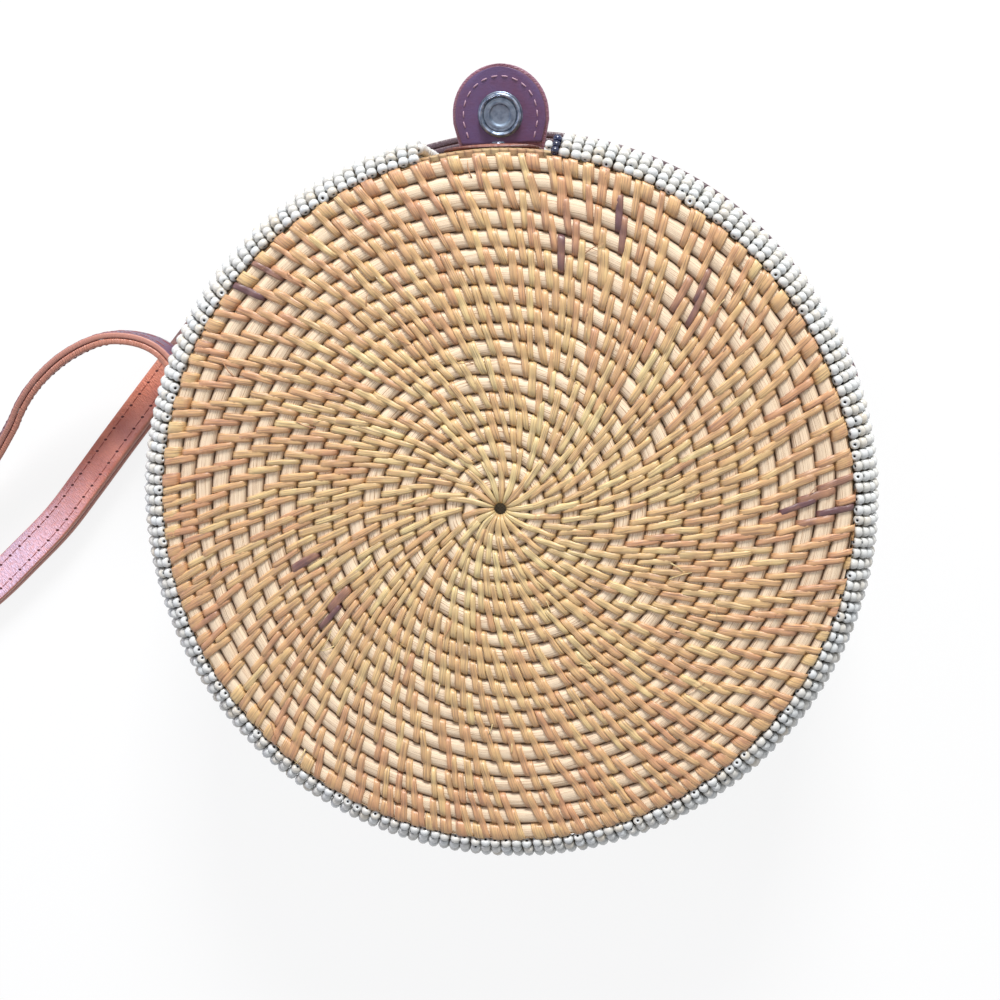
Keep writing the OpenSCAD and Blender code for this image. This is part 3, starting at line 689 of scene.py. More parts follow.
def rim_wraps(seed):
    """Points and values of the wraps round the outermost turn."""
    rng = np.random.default_rng(seed)
    rim = STITCHES[(STITCHES > LAST_TURN - 2) & (STITCHES <= LAST_TURN - 1)]
    turned = (PITCH * 1.5 * math.tan(SLANT)) / (TAU * DISC_R)
    nexts = np.append(rim[1:], rim[0] + 1)
    middle = (rim + nexts) / 2 + turned + 0.1 * (nexts - rim)
    t = middle[:, None] + 1
    u = WRAP_U[None]
    r = spiral_r(t) + PITCH * u
    angle = np.broadcast_to(TAU * t, r.shape)
    gap = ((nexts - rim) * TAU * DISC_R)[:, None]
    width = np.clip(gap - WRAP_ROOM, WRAP_LEAST, WRAP_MOST) * (0.94 + 0.06 * np.sin(np.pi * u))
    side = PITCH * u * math.tan(SLANT) * 0.7 + rng.normal(0, 0.15 * MM, t.shape)
    depth = lying(np.minimum(u, 1), 3) + np.clip((u - 0.98) / 0.14, 0, 1) * WRAP_DROP
    tones = np.clip(rng.normal(0.7, 0.2, len(middle)), 0.2, 1.0)
    return strips(r, angle, depth, side, width, STRIP_T * 0.85, PITCH * 2, tones)


# %% [markdown]
# Split cane sheds fibres, which lie loose across the strips. Each is a very thin strip, made by the same
# function, so that it sinks at both ends and rises over the strips between them.

# %% Loose fibres
LOOSE_FIBRES = 46
FIBRE_U = np.linspace(0, 1, 6)[None]
FIBRE_W = 0.42 * MM
FIBRE_T = 0.18 * MM


def loose_fibres(seed):
    """Points and values of fibres that have come off the strips and lie across them."""
    rng = np.random.default_rng(seed)
    one_each = (LOOSE_FIBRES, 1)
    way = rng.normal(0.3, 0.7, one_each)
    length = rng.uniform(2.5, 6.5, one_each) * MM
    r = np.sqrt(rng.uniform(0.02, 0.9, one_each)) * DISC_R + length * FIBRE_U * np.cos(way)
    side = length * (FIBRE_U * np.sin(way) + 0.08 * np.sin(3 * FIBRE_U))
    angle = np.broadcast_to(rng.uniform(0, TAU, one_each), r.shape)
    depth = CORE_UNDER * (1 - 0.95 * np.sin(FIBRE_U * 2))
    width = FIBRE_W * (1 - 0.5 * FIBRE_U) + np.zeros(r.shape)
    tones = rng.choice([0.0, 0.9, 1.3], LOOSE_FIBRES, p=[0.4, 0.3, 0.3])
    return strips(r, angle, depth, side, width, FIBRE_T, length, tones)


# %% [markdown]
# The core could be a ring for each turn, but a real one is a single cane that spirals out. So it is swept as
# one tube. Its top is an arch across each turn, which is what makes the strips dip between two turns.

# %% The core under the stitches
CORE_STEPS_A_TURN = 96
CORE_EARLY = 0.35
CORE_SECTION = np.array([[0.01, 1.0], [0.01, 0.15], [0.02, -1], [0.09, -1], [0.2, -1], [0.34, -1], [0.5, -1],
                         [0.66, -1], [0.8, -1], [0.91, -1], [0.98, -1], [0.99, 0.15], [0.99, 1.0],
                         [0.5, 1.0]])


def disc_core():
    """Points, faces and values of the spiral core. A section point is a share across and a depth."""
    t = np.arange(-CORE_EARLY * CORE_STEPS_A_TURN, TURNS * CORE_STEPS_A_TURN + 1)[:, None] / CORE_STEPS_A_TURN
    across = np.broadcast_to(CORE_SECTION[None, :, 0], (len(t), len(CORE_SECTION)))
    angle = np.broadcast_to(TAU * t, across.shape)
    r = np.maximum(spiral_r(t) + PITCH * across, HOLE_R * 1.1)
    low = CORE_SECTION[None, :, 1]
    depth = np.where(low >= 0, CROWN_DROP + low * (COIL_T - CROWN_DROP), crown(across))
    depth = np.minimum(depth + CORE_UNDER, COIL_T)
    points = on_disc(r, angle, depth, DISC_R - STRIP_T * 0.8)
    grain = np.stack([angle * r, across * PITCH, np.floor(angle / TAU)], -1)
    # Painted shade: the deeper the core lies under its crown, the darker, and weaker on the rim's outer edge.
    sunk_shade = np.clip(((depth - CORE_UNDER) / CROWN_DROP - 0.3) / 0.7, 0, 1)
    sunk_shade = np.where((across > 0.9) & (t > LAST_TURN), sunk_shade * 0.3, sunk_shade)
    return points, tube_quads(len(t), len(CORE_SECTION)), {"grain": grain, "tone": sunk_shade}


# %% Both discs
def in_shell(shape, up):
    """Moves a shape from a shell's own frame, with its face at z = 0, to the front or over to the back."""
    points, faces, values = shape
    points = np.array(points, float)
    if up:
        points[..., 2] += FRONT_Z
    else:
        points[..., 2] *= -1
    return points, faces, values


def make_strips(name, points, values, up, body):
    """One piece of many strips, from arrays with one row a strip."""
    count, steps, sides = points.shape[:3]
    quads = repeated(tube_quads(steps, sides), count, steps * sides)
    make_piece(name, in_shell((points, quads, values), up), body, STRIP_MATERIAL)


def make_disc(side, up, seed):
    """The core, stitches and rim wraps of one disc. The stitches are two pieces, inner and outer turns."""
    body = f"{side}_shell"
    make_piece(f"{side}_core_coil", in_shell(disc_core(), up), body, CORE_MATERIAL,
               (f"{side}_disc",))
    points, values = disc_stitches(seed)
    half = len(points) // 2
    for part, rows in (("inner", slice(0, half)), ("outer", slice(half, None))):
        some = {key: value[rows] for key, value in values.items()}
        make_strips(f"{side}_{part}_stitches", points[rows], some, up, body)
    make_strips(f"{side}_rim_wraps", *rim_wraps(seed + 1), up, body)
    make_strips(f"{side}_loose_fibres", *loose_fibres(seed + 2), up, body)


make_disc("front", True, 11)
make_disc("back", False, 23)

# %% [markdown]
# ## Beads
#
# The beads are threaded in rows of about sixteen. A row starts at the disc's edge, bends over the shoulder
# and runs down the side. Rows stop at the closure, and end early beside the hinge and the strap's keepers.

# %% Material: beads
BEAD_WHITE = colour(0.80, 0.81, 0.81)
BEAD_WARM = colour(0.77, 0.73, 0.66)
# Colour of the painted shade inside a bead's hole.
BEAD_HOLE_SHADE = colour(0.30, 0.29, 0.28)
BEAD_NAVY = colour(0.03, 0.08, 0.26)
NAVY_WARM = colour(0.05, 0.09, 0.20)


def make_bead_material(name, pale, warm):
    """Opaque glass. tone runs from pale to warm within 0 to 1, and is negative inside the hole, which gets a
    painted shade.
    """
    mat, tree, shader = new_material(name, Roughness=0.24, Coat_Weight=0.35, Coat_Roughness=0.12)
    tone = attribute(tree, "tone", "Fac")
    # Painted shade inside the hole.
    hole = math_node(tree, "LESS_THAN", tone, -0.8)
    shade = mix_colour(tree, math_node(tree, "ADD", tone, 0.0, clamp=True), pale, warm)
    tree.links.new(mix_colour(tree, hole, shade, BEAD_HOLE_SHADE), shader.inputs["Base Color"])
    return mat


BEAD_MATERIAL = make_bead_material("beads", BEAD_WHITE, BEAD_WARM)
NAVY_MATERIAL = make_bead_material("navy_beads", BEAD_NAVY, NAVY_WARM)

# %% [markdown]
# The rows stand side by side round the band, one bead apart. Beads could be copied on a curve by a modifier,
# but each row ends where the wall, a keeper or the hinge makes it end, which is easier to work out in a loop.

# %% Where the rows run
BEAD_BALL = 1.5 * MM
BEAD_LEN = 2.2 * MM
ROW_PITCH = 3.05 * MM
BEAD_IN_R = BEAD_R - 3.3 * MM
CLOSURE_GAP_HALF = 18.5 * MM
HINGE_GAP_HALF = 22.6 * MM
KEEPER_GAP_BEFORE, KEEPER_GAP_AFTER = 15.4 * MM, 27.5 * MM
CLOSURE_HALF = math.asin(CLOSURE_GAP_HALF / BEAD_IN_R)
HINGE_HALF = math.asin(HINGE_GAP_HALF / BEAD_IN_R)
KEEPER_BEFORE = math.asin(KEEPER_GAP_BEFORE / WALL_R)
KEEPER_AFTER = math.asin(KEEPER_GAP_AFTER / WALL_R)
ROW_FROM = TAU / 4 + CLOSURE_HALF
ROW_TO = 5 * TAU / 4 - CLOSURE_HALF
ROWS = int((ROW_TO - ROW_FROM) * BEAD_R / ROW_PITCH)
ROW_END = MID_Z - RIM_GAP / 2
HINGE_STOP = 16 * MM
KEEPER_STOP = 9 * MM
HINGE_ZONE = (3 * TAU / 4 - HINGE_HALF, 3 * TAU / 4 + HINGE_HALF, HINGE_STOP)
KEEPER_ZONES = ((TAU / 2 - KEEPER_AFTER, TAU / 2 + KEEPER_BEFORE, KEEPER_STOP),
                (TAU - KEEPER_BEFORE, TAU + KEEPER_AFTER, KEEPER_STOP))
SHOULDER = np.array([[93.0, 2.0], [95.3, 3.3], [96.9, 5.3], [97.75, 7.7], [98.0, 10.5], [98.05, 40]]) * MM
SHOULDER_BEADS = 4
ROW_BEADS = 18
END_INSET = 1.6 * MM
END_SKIP = 3
END_SHARE = 0.1
BEAD_LEN_SPREAD = 0.035
ROW_START_MM = (-0.2, 0.3)
ROW_ANGLE_SPREAD = 0.0011
FIRST_TILTS, FIRST_ODDS = (-0.3, 0, 0.5, 0.9), (0.25, 0.5, 0.15, 0.1)
SECOND_TILTS, SECOND_ODDS = (0, 0.35), (0.75, 0.25)
SLOPE_STEP = 0.2 * MM


def row_end(angle, zones):
    """Depth under the disc's face at which the row at that angle ends."""
    return min([ROW_END] + [stop for low, high, stop in zones if low < angle < high])


def along_shoulder(lengths):
    """Radius and depth at lengths along a row."""
    places = running(SHOULDER)
    return np.interp(lengths, places, SHOULDER[:, 0]), np.interp(lengths, places, SHOULDER[:, 1])


def row_beads(zones, seed):
    """Middles, axes, row angles and ranks of all the beads of a shell, in its own frame."""
    rng = np.random.default_rng(seed)
    step = (ROW_TO - ROW_FROM) / ROWS
    rows = [(ROW_FROM + (j + 0.5) * step, 0, 0) for j in range(ROWS)]
    rows += [(end, END_INSET, END_SKIP) for end in (ROW_FROM + END_SHARE * step, ROW_TO - END_SHARE * step)]
    found = []
    for angle, inset, first in rows:
        end = row_end(angle, zones)
        spacing = BEAD_LEN * (1 + rng.normal(0, BEAD_LEN_SPREAD, ROW_BEADS))
        lengths = np.cumsum(spacing) - BEAD_LEN + rng.uniform(*ROW_START_MM) * MM
        r, depth = along_shoulder(lengths)
        next_r, next_depth = along_shoulder(lengths + SLOPE_STEP)
        slope = np.arctan2(next_depth - depth, next_r - r)
        slope[0] += rng.choice(FIRST_TILTS, p=FIRST_ODDS)
        slope[1] += rng.choice(SECOND_TILTS, p=SECOND_ODDS)
        for k in range(first, ROW_BEADS):
            if depth[k] < end - BEAD_LEN * 0.45:
                found.append((r[k] - inset, angle + rng.normal(0, ROW_ANGLE_SPREAD), depth[k], slope[k], k))
    return np.array(found)


# %% [markdown]
# The first four beads of a row face the camera and show their holes, so they are rings with a hole. The beads
# on the wall hide their holes between them. They are closed and have fewer faces.

# %% One bead's shape, and all the beads at once
def bead_shape(profile, sides):
    """Points of a bead round its axis from shares of its length and its radius."""
    turn = np.arange(sides) * TAU / sides
    return np.array([[[a * BEAD_LEN, b * BEAD_BALL * math.cos(t), b * BEAD_BALL * math.sin(t)] for t in turn]
                     for a, b in profile]).reshape(-1, 3)


FINE_PROFILE = [(-0.38, 0.2), (-0.48, 0.5), (-0.34, 0.87), (0, 1), (0.34, 0.87), (0.48, 0.5), (0.38, 0.2)]
FINE_SIDES = 10
PLAIN_PROFILE = [(-0.48, 0.5), (-0.33, 0.88), (0, 1), (0.33, 0.88), (0.48, 0.5)]
PLAIN_SIDES = 8
HOLE_SHADE_TONE = -1.0
AXIS_SPREAD = 0.09
LONG_SPREAD = 0.05
WIDE_MIDDLE, WIDE_SPREAD, WIDE_LIMITS = 0.985, 0.025, (0.9, 1.02)


def place_beads(found, profile, sides, seed):
    """Beads at places from row_beads. Those with the plain profile are closed, the others have a hole."""
    rng = np.random.default_rng(seed)
    r, angle, depth, slope = found.T[:4]
    out = np.stack([np.cos(angle), np.sin(angle), 0 * angle], -1)
    round_it = np.stack([-np.sin(angle), np.cos(angle), 0 * angle], -1)
    down = np.array([0, 0, -1.0])
    axis = out * np.cos(slope)[:, None] + down * np.sin(slope)[:, None]
    one_each = (len(r), 1)
    axis = unit(axis + round_it * rng.normal(0, AXIS_SPREAD, one_each))
    side = unit(np.cross(axis, round_it))
    third = np.cross(axis, side)
    middle = out * r[:, None] + down * depth[:, None]
    shape = bead_shape(profile, sides)
    long = rng.normal(1, LONG_SPREAD, one_each)
    wide = rng.normal(WIDE_MIDDLE, WIDE_SPREAD, one_each).clip(*WIDE_LIMITS)
    points = (middle[:, None] + axis[:, None] * (shape[:, 0] * long)[..., None]
              + side[:, None] * (shape[:, 1] * wide)[..., None]
              + third[:, None] * (shape[:, 2] * wide)[..., None])
    tone = np.repeat(np.clip(rng.beta(1.2, 3, len(r)), 0, 1)[:, None], len(shape), 1)
    if profile is PLAIN_PROFILE:
        faces = tube_quads(len(profile), sides)
    else:
        faces = loop_quads(len(profile), sides)
        # The rings at both ends of the hole take the painted shade.
        tone[:, :sides] = HOLE_SHADE_TONE
        tone[:, -sides:] = HOLE_SHADE_TONE
    return points, repeated(faces, len(r), len(shape)), {"tone": tone.ravel()}


def make_beads(side, up, zones, seed):
    """The shoulder beads and the wall beads of one shell."""
    found = row_beads(zones, seed)
    shoulder = found[:, 4] < SHOULDER_BEADS
    beads = place_beads(found[shoulder], FINE_PROFILE, FINE_SIDES, seed + 1)
    make_piece(f"{side}_shoulder_beads", in_shell(beads, up), f"{side}_shell", BEAD_MATERIAL,
               (f"{side}_bead_rows",))
    beads = place_beads(found[~shoulder], PLAIN_PROFILE, PLAIN_SIDES, seed + 2)
    make_piece(f"{side}_wall_beads", in_shell(beads, up), f"{side}_shell", BEAD_MATERIAL)
    print(f"Beads on the {side} shell:", len(found))


make_beads("front", True, (HINGE_ZONE,), 31)
make_beads("back", False, (HINGE_ZONE,) + KEEPER_ZONES, 47)

# %% [markdown]
# The front band ends beside the closure in three small dark beads, strung one after the other down the
# shoulder, and one small white bead next to them.

# %% The dark beads at the end of the front band
DARK_AT = ROW_TO - TAU + math.asin(1.0 * MM / BEAD_R)
DARK_SLOPE = math.radians(38)
DARK_PITCH = 2.0 * MM
DARK_R, DARK_DEPTH = 94.9 * MM, 3.4 * MM
END_AT = DARK_AT + math.asin(1.9 * MM / BEAD_R)
END_R, END_DEPTH = 94.6 * MM, 3.2 * MM
SMALL_PROFILE = [(a * 0.9, b * 0.8) for a, b in FINE_PROFILE]
dark_run, dark_fall = DARK_PITCH * math.cos(DARK_SLOPE), DARK_PITCH * math.sin(DARK_SLOPE)
dark = [[DARK_R + k * dark_run, DARK_AT, DARK_DEPTH + k * dark_fall, DARK_SLOPE, 0] for k in (-1, 0, 1)]
end = [[END_R, END_AT, END_DEPTH, DARK_SLOPE, 0]]
for name, found, seed, material, slot, replaced in (
        ("dark_accent_beads", dark, 5, NAVY_MATERIAL, "dark_beads", ("accent_beads",)),
        ("white_end_bead", end, 6, BEAD_MATERIAL, "beads", ())):
    beads = place_beads(np.array(found), SMALL_PROFILE, FINE_SIDES, seed)
    make_piece(name, in_shell(beads, True), "front_shell", material, replaced)

# %% [markdown]
# ## Leather and cloth
#
# Each leather part is a ribbon: a path with a rounded section swept along it. Parts that lie on the round
# wall are drawn flat first and then wrapped round it, with X as the length round the wall.

# %% Ribbons
def section(parts, edge):
    """A ribbon's closed section. Each point has its share of the half width, its inset from the edge and
    its share of the thickness."""
    inner = np.linspace(-1, 1, parts + 1)[1:-1]
    top = [(-1, 0, 0.2), (-1, edge * 0.3, 0.4), (-1, edge, 0.5)] + [(x, 0, 0.5) for x in inner]
    top += [(1, edge, 0.5), (1, edge * 0.3, 0.4), (1, 0, 0.2)]
    return np.array(top + [(x, e, -y) for x, e, y in reversed(top)])


def smooth_path(points, steps):
    """A smooth curve through points, with as many steps between two of them."""
    p = np.asarray(points, float)
    padded = np.concatenate([p[:1], p, p[-1:]])
    t = (np.arange(steps) / steps)[:, None]
    parts = []
    for a, b, c, d in zip(padded, padded[1:], padded[2:], padded[3:]):
        square, cube = 2 * a - 5 * b + 4 * c - d, 3 * b - a - 3 * c + d
        parts.append((2 * b + (c - a) * t + square * t ** 2 + cube * t ** 3) / 2)
    return np.concatenate(parts + [p[-1:]])


def ribbon(middles, across, normals, half_widths, thickness, shape, own=0.0):
    """Points, faces and values of a ribbon along middles. tone is 1 on its cut edges."""
    n = len(middles)
    half = np.broadcast_to(half_widths, n)[:, None]
    thick = np.broadcast_to(thickness, n)[:, None]
    x = shape[:, 0] * (half - np.minimum(shape[:, 1], half * 0.5))
    y = shape[:, 2] * thick
    points = middles[:, None] + across[:, None] * x[..., None] + normals[:, None] * y[..., None]
    along = running(middles)[:, None]
    grain = np.stack(np.broadcast_arrays(along, x, own), -1)
    tone = np.broadcast_to((np.abs(shape[:, 2]) < 0.45).astype(float), x.shape)
    return points, tube_quads(n, len(shape)), {"grain": grain.reshape(-1, 3), "tone": tone.ravel()}


def flat_ribbon(path, half_widths, thickness, shape, own=0.0):
    """A ribbon whose path runs in Y and Z only, with its width along X."""
    path = np.asarray(path, float)
    way = unit(np.gradient(path, axis=0))
    middles = np.column_stack([np.zeros(len(path)), path])
    across = np.tile([1.0, 0, 0], (len(path), 1))
    normals = np.column_stack([np.zeros(len(path)), way[:, 1], -way[:, 0]])
    return ribbon(middles, across, normals, half_widths, thickness, shape, own)


def wrapped(shape, turn):
    """A flat shape wrapped round the wall: X is a length round it, Y a radius, and turn their angle."""
    points, faces, values = shape
    angle = turn - points[..., 0] / WALL_R
    wrap = np.stack([points[..., 1] * np.cos(angle), points[..., 1] * np.sin(angle), points[..., 2]], -1)
    return wrap, faces, values


def joined(parts):
    """Several shapes as one, each with its faces looking outwards."""
    count, faces = 0, []
    for points, quads, values in parts:
        flat = points.reshape(-1, 3)
        faces.append(facing_out(flat, quads) + count)
        count += len(flat)
    values = {key: np.concatenate([part[2][key] for part in parts]) for key in parts[0][2]}
    return np.concatenate([part[0].reshape(-1, 3) for part in parts]), np.concatenate(faces), values


# %% [markdown]
# The leathers differ in colour, gloss and depth of grain only, so one function makes them all. The grain is
# worked out from the `grain` attribute, so it follows a bent strap and is as fine from close by.

# %% Material: leather
# Colour of the dark painted shade on the strap beside the bag.
STRAP_SHADE_COLOUR = colour(0.30, 0.22, 0.25)
# Colour and strength of the pale lilac painted sheen on the strap's face.
SHEEN_COLOUR = colour(0.85, 0.75, 0.85)
SHEEN_STRENGTH = 1.35


def make_leather(name, face, shade, edge, rough, crackle, coat=0.12):
    """Grained leather. Its colour drifts slowly, and cracks and pores show in the bump. tone is 1 on its cut
    edges, near 2 where a dark painted shade lies on it, and negative where a pale lilac painted sheen lies on
    its face."""
    mat, tree, shader = new_material(name, Coat_Weight=coat, Coat_Roughness=0.3)
    grain = attribute(tree, "grain")
    drift = noise(tree, grain, 70.0, 4.0, 0.6)
    spots = noise(tree, grain, 900.0, 3.0)
    shades = ramp(tree, drift, [(0.35, shade), (0.6, face), (0.8, face)])
    shades = mix_colour(tree, math_node(tree, "MULTIPLY", spots, 0.35), shades, shade)
    tone = attribute(tree, "tone", "Fac")
    leather_colour = mix_colour(tree, math_node(tree, "ADD", tone, 0.0, clamp=True), shades, edge)
    # Painted shade where tone is over 1.
    leather_colour = mix_colour(tree, math_node(tree, "SUBTRACT", tone, 1.0, clamp=True), leather_colour, STRAP_SHADE_COLOUR)
    # Painted sheen where tone is negative, broken up by the spots.
    painted_sheen = math_node(tree, "MULTIPLY", math_node(tree, "MULTIPLY", tone, -SHEEN_STRENGTH), spots, clamp=True)
    leather_colour = mix_colour(tree, painted_sheen, leather_colour, SHEEN_COLOUR)
    tree.links.new(leather_colour, shader.inputs["Base Color"])
    creased = stretched(tree, grain, (1.5, 0.5, 1.0))
    cells = add(tree, "ShaderNodeTexVoronoi", {"Vector": creased, "Scale": 900.0, "Randomness": 1.0},
                feature="DISTANCE_TO_EDGE")
    cracks = math_node(tree, "MULTIPLY", cells.outputs["Distance"], 4.0, clamp=True)
    height = math_node(tree, "ADD", cracks, math_node(tree, "MULTIPLY", spots, 0.6))
    bump(tree, shader, height, crackle, 0.2 * MM)
    uneven = math_node(tree, "MULTIPLY", drift, 0.3)
    tree.links.new(math_node(tree, "ADD", uneven, rough - 0.15), shader.inputs["Roughness"])
    return mat


COGNAC = make_leather("cognac_leather", colour(0.82, 0.50, 0.40), colour(0.68, 0.37, 0.30),
                      colour(0.70, 0.46, 0.38), 0.42, 0.75, 0.35)
ROSEWOOD = make_leather("rosewood_leather", colour(0.54, 0.36, 0.42), colour(0.46, 0.29, 0.35),
                        colour(0.50, 0.34, 0.41), 0.5, 0.5)
PLUM = make_leather("plum_lining", colour(0.34, 0.27, 0.43), colour(0.36, 0.21, 0.32),
                    colour(0.34, 0.19, 0.25), 0.5, 0.1)
STRAP_PLUM = make_leather("strap_lining", colour(0.42, 0.30, 0.40), colour(0.30, 0.20, 0.28),
                          colour(0.70, 0.48, 0.42), 0.5, 0.4)
BROWN = make_leather("brown_leather", colour(0.58, 0.33, 0.25), colour(0.44, 0.23, 0.18),
                     colour(0.32, 0.16, 0.13), 0.5, 0.45)


def make_thread(name, shade, rough):
    """Matt sewing thread of one colour."""
    return new_material(name, Base_Color=shade, Roughness=rough)[0]


THREAD_PALE = make_thread("pale_thread", colour(0.66, 0.54, 0.60), 0.8)
THREAD_BROWN = make_thread("brown_thread", colour(0.52, 0.26, 0.22), 0.75)
# The dark one is not thread: it paints the shade in the strap's stitch holes.
STITCH_HOLE_SHADE = make_thread("stitch_hole_shade", colour(0.30, 0.11, 0.11), 0.75)


# %% [markdown]
# A stitch shows as a short dash that bows out of the leather. The thread inside the leather is hidden, so
# only the dashes are made, with all those of a seam in one mesh.

# %% Stitches of thread
DASH = [(-0.5, 0.35, -0.5), (-0.32, 0.9, 0.15), (0, 1, 0.35), (0.32, 0.9, 0.15), (0.5, 0.35, -0.5)]
DASH_SIDES = 6
DASH_TOP = 0.72


def dashes(middles, ways, normals, length, thick):
    """Points, faces and values of short stitches that bow out of the leather."""
    ways = unit(ways)
    across = np.cross(ways, normals)
    parts = []
    for share, size, rise in DASH:
        for s in range(DASH_SIDES):
            turn = s * TAU / DASH_SIDES
            parts.append(middles + ways * share * length + across * (size * thick * math.cos(turn) / 2)
                         + normals * (thick * rise + size * thick * math.sin(turn) / 2))
    points = np.stack(parts, 1)
    per = len(DASH) * DASH_SIDES
    return points, repeated(tube_quads(len(DASH), DASH_SIDES), len(middles), per), {}


def every(path, pitch):
    """Indices of a dense path at a pitch of length."""
    lengths = running(path)
    return np.searchsorted(lengths, np.arange(pitch / 2, lengths[-1] - pitch / 2, pitch))


# %% [markdown]
# ## The closure tab
#
# The outer leather is one piece from its riveted root on the back wall, round the fold and out to the round
# head. It is one mesh in its rest place and rides on no body.

# %% The tab's sizes and paths
FOLD = np.array([96.3, 33.0]) * MM
TAB_REST = math.radians(12)
SNAP_REACH = 9.2 * MM
HEAD_R = 13.5 * MM
NECK = 11.7 * MM
TAB_WAY = np.array([math.cos(TAB_REST), math.sin(TAB_REST)])
TAB_UP = np.array([-math.sin(TAB_REST), math.cos(TAB_REST)])


def on_tab(reach, rise):
    """Y and Z of a place at a reach out from the fold and a rise over the fold's axis."""
    return FOLD + np.outer(np.atleast_1d(reach), TAB_WAY) + np.outer(np.atleast_1d(rise), TAB_UP)


def head_half(reach, inset):
    """The tab's half width at a reach from its fold, drawn in by an inset."""
    round_half = np.sqrt(np.maximum((HEAD_R - inset) ** 2 - (reach - SNAP_REACH) ** 2, (0.5 * MM) ** 2))
    neck = np.interp(reach, [0, 7.2 * MM], [NECK - inset, HEAD_R - inset])
    return np.where(reach < SNAP_REACH, np.minimum(neck, HEAD_R - inset), round_half)


def tab_reaches(inset, start):
    """Reaches from a start to the tip, closer together towards the tip."""
    turn = np.linspace(0, TAU / 4, 14)
    return np.concatenate([np.linspace(start, SNAP_REACH, 12)[:-1],
                           SNAP_REACH + (HEAD_R - inset) * np.sin(turn) * 0.9995])


# %% The tab's leather, lining and stitches
TAB_RISE, TAB_T = -3.3 * MM, 1.4 * MM
PLUM_RISE, PLUM_T, PLUM_INSET = -2.15 * MM, 0.9 * MM, 0.7 * MM
TAB_THREAD_RISE, TAB_THREAD_INSET = -1.72 * MM, 3.2 * MM
TAB_THREAD_PITCH, TAB_THREAD_LEN, TAB_THREAD_T = 2.9 * MM, 2.1 * MM, 0.42 * MM
ROOT_PLACES = np.array([[95.0, 9.2], [95.0, 15], [95.0, 21], [95.0, 26], [95.5, 28.6], [96.9, 29.9]]) * MM
FOLD_STEPS = 12


def tab_leather():
    """The outer leather. Its root is curved like the wall, and the curve fades along the neck."""
    reaches = tab_reaches(0, 2.2 * MM)
    root = smooth_path(ROOT_PLACES, 4)
    halves = np.concatenate([np.full(len(root), NECK), head_half(reaches, 0)])
    path = np.concatenate([root, on_tab(reaches, TAB_RISE)])
    points, faces, values = flat_ribbon(path, halves, TAB_T, section(8, 0.5 * MM))
    curved = np.interp(root[:, 1], [24 * MM, 29.9 * MM], [1, 0.9])
    fading = np.linspace(1, 0, FOLD_STEPS) ** 2
    on_wall = np.concatenate([curved, fading, np.zeros(len(reaches) - FOLD_STEPS)])
    points[..., 1] -= on_wall[:, None] * points[..., 0] ** 2 / (2 * WALL_R)
    return points, faces, values


def tab_lining():
    """The plum lining, drawn in a little from the leather's outline."""
    reaches = tab_reaches(PLUM_INSET, 1.2 * MM)
    return flat_ribbon(on_tab(reaches, PLUM_RISE), head_half(reaches, PLUM_INSET), PLUM_T,
                       section(8, 0.35 * MM))


def tab_stitches():
    """Pale stitches on the lining, inset from the tab's outline."""
    reach = tab_reaches(TAB_THREAD_INSET, 2.0 * MM)
    right = np.column_stack([head_half(reach, TAB_THREAD_INSET), reach])
    outline = smooth_path(np.concatenate([right, right[::-1] * [-1, 1]]), 12)
    at = every(outline, TAB_THREAD_PITCH)
    flat = outline[at]
    ways = outline[np.minimum(at + 3, len(outline) - 1)] - outline[np.maximum(at - 3, 0)]
    middles = np.column_stack([flat[:, 0], on_tab(flat[:, 1], TAB_THREAD_RISE)])
    ways = np.column_stack([ways[:, 0], ways[:, 1][:, None] * TAB_WAY])
    normals = np.tile([0, *TAB_UP], (len(at), 1))
    return dashes(middles, ways, normals, TAB_THREAD_LEN, TAB_THREAD_T)


tab_outer = make_piece("tab_outer_leather", tab_leather(), None, ROSEWOOD,
                       ("tab_leather", "tab_root"))
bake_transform(tab_outer)
make_piece("tab_plum_lining", tab_lining(), "tab", PLUM, ("tab_lining",))
make_piece("tab_stitches", tab_stitches(), "tab", THREAD_PALE)

# %% [markdown]
# ## Metal
#
# The snap is old steel with a blue-grey skin, its stud is rubbed bright, and the rivets are aged brass.
# All three are one kind of finish with other values: dull patches in the colour, and a roughness that the
# same patches change. A group puts out the patches and the scratches.

# %% Group: patina, and the metals that use it
def make_patina():
    """Dull patches and fine scratches for metal."""
    group, given, out = new_group("patina", [("Place", "vector", None), ("Scale", "value", 700.0)],
                                  [("Patches", "value"), ("Scratches", "value")])
    place, scale = given.outputs["Place"], given.outputs["Scale"]
    group.links.new(noise(group, place, scale, 4.0), out.inputs["Patches"])
    drawn = stretched(group, place, (1.0, 9.0, 5.0))
    group.links.new(noise(group, drawn, scale, 2.0), out.inputs["Scratches"])
    return group


PATINA = make_patina()


def object_place(tree):
    """The place on the piece itself, which stays with it when it moves."""
    return add(tree, "ShaderNodeTexCoord").outputs["Object"]


def make_metal(name, bright, dull, rough):
    """Worn metal: bright where it is rubbed and dull in patches, with fine scratches."""
    mat, tree, shader = new_material(name, Metallic=1.0)
    worn = place_group(tree, PATINA, {"Place": object_place(tree)})
    shade = ramp(tree, worn.outputs["Patches"], [(0.36, dull), (0.64, bright)])
    tree.links.new(shade, shader.inputs["Base Color"])
    patchy = math_node(tree, "MULTIPLY", worn.outputs["Patches"], 0.3)
    tree.links.new(math_node(tree, "ADD", patchy, rough - 0.15), shader.inputs["Roughness"])
    bump(tree, shader, worn.outputs["Scratches"], 0.15, 0.05 * MM)
    return mat


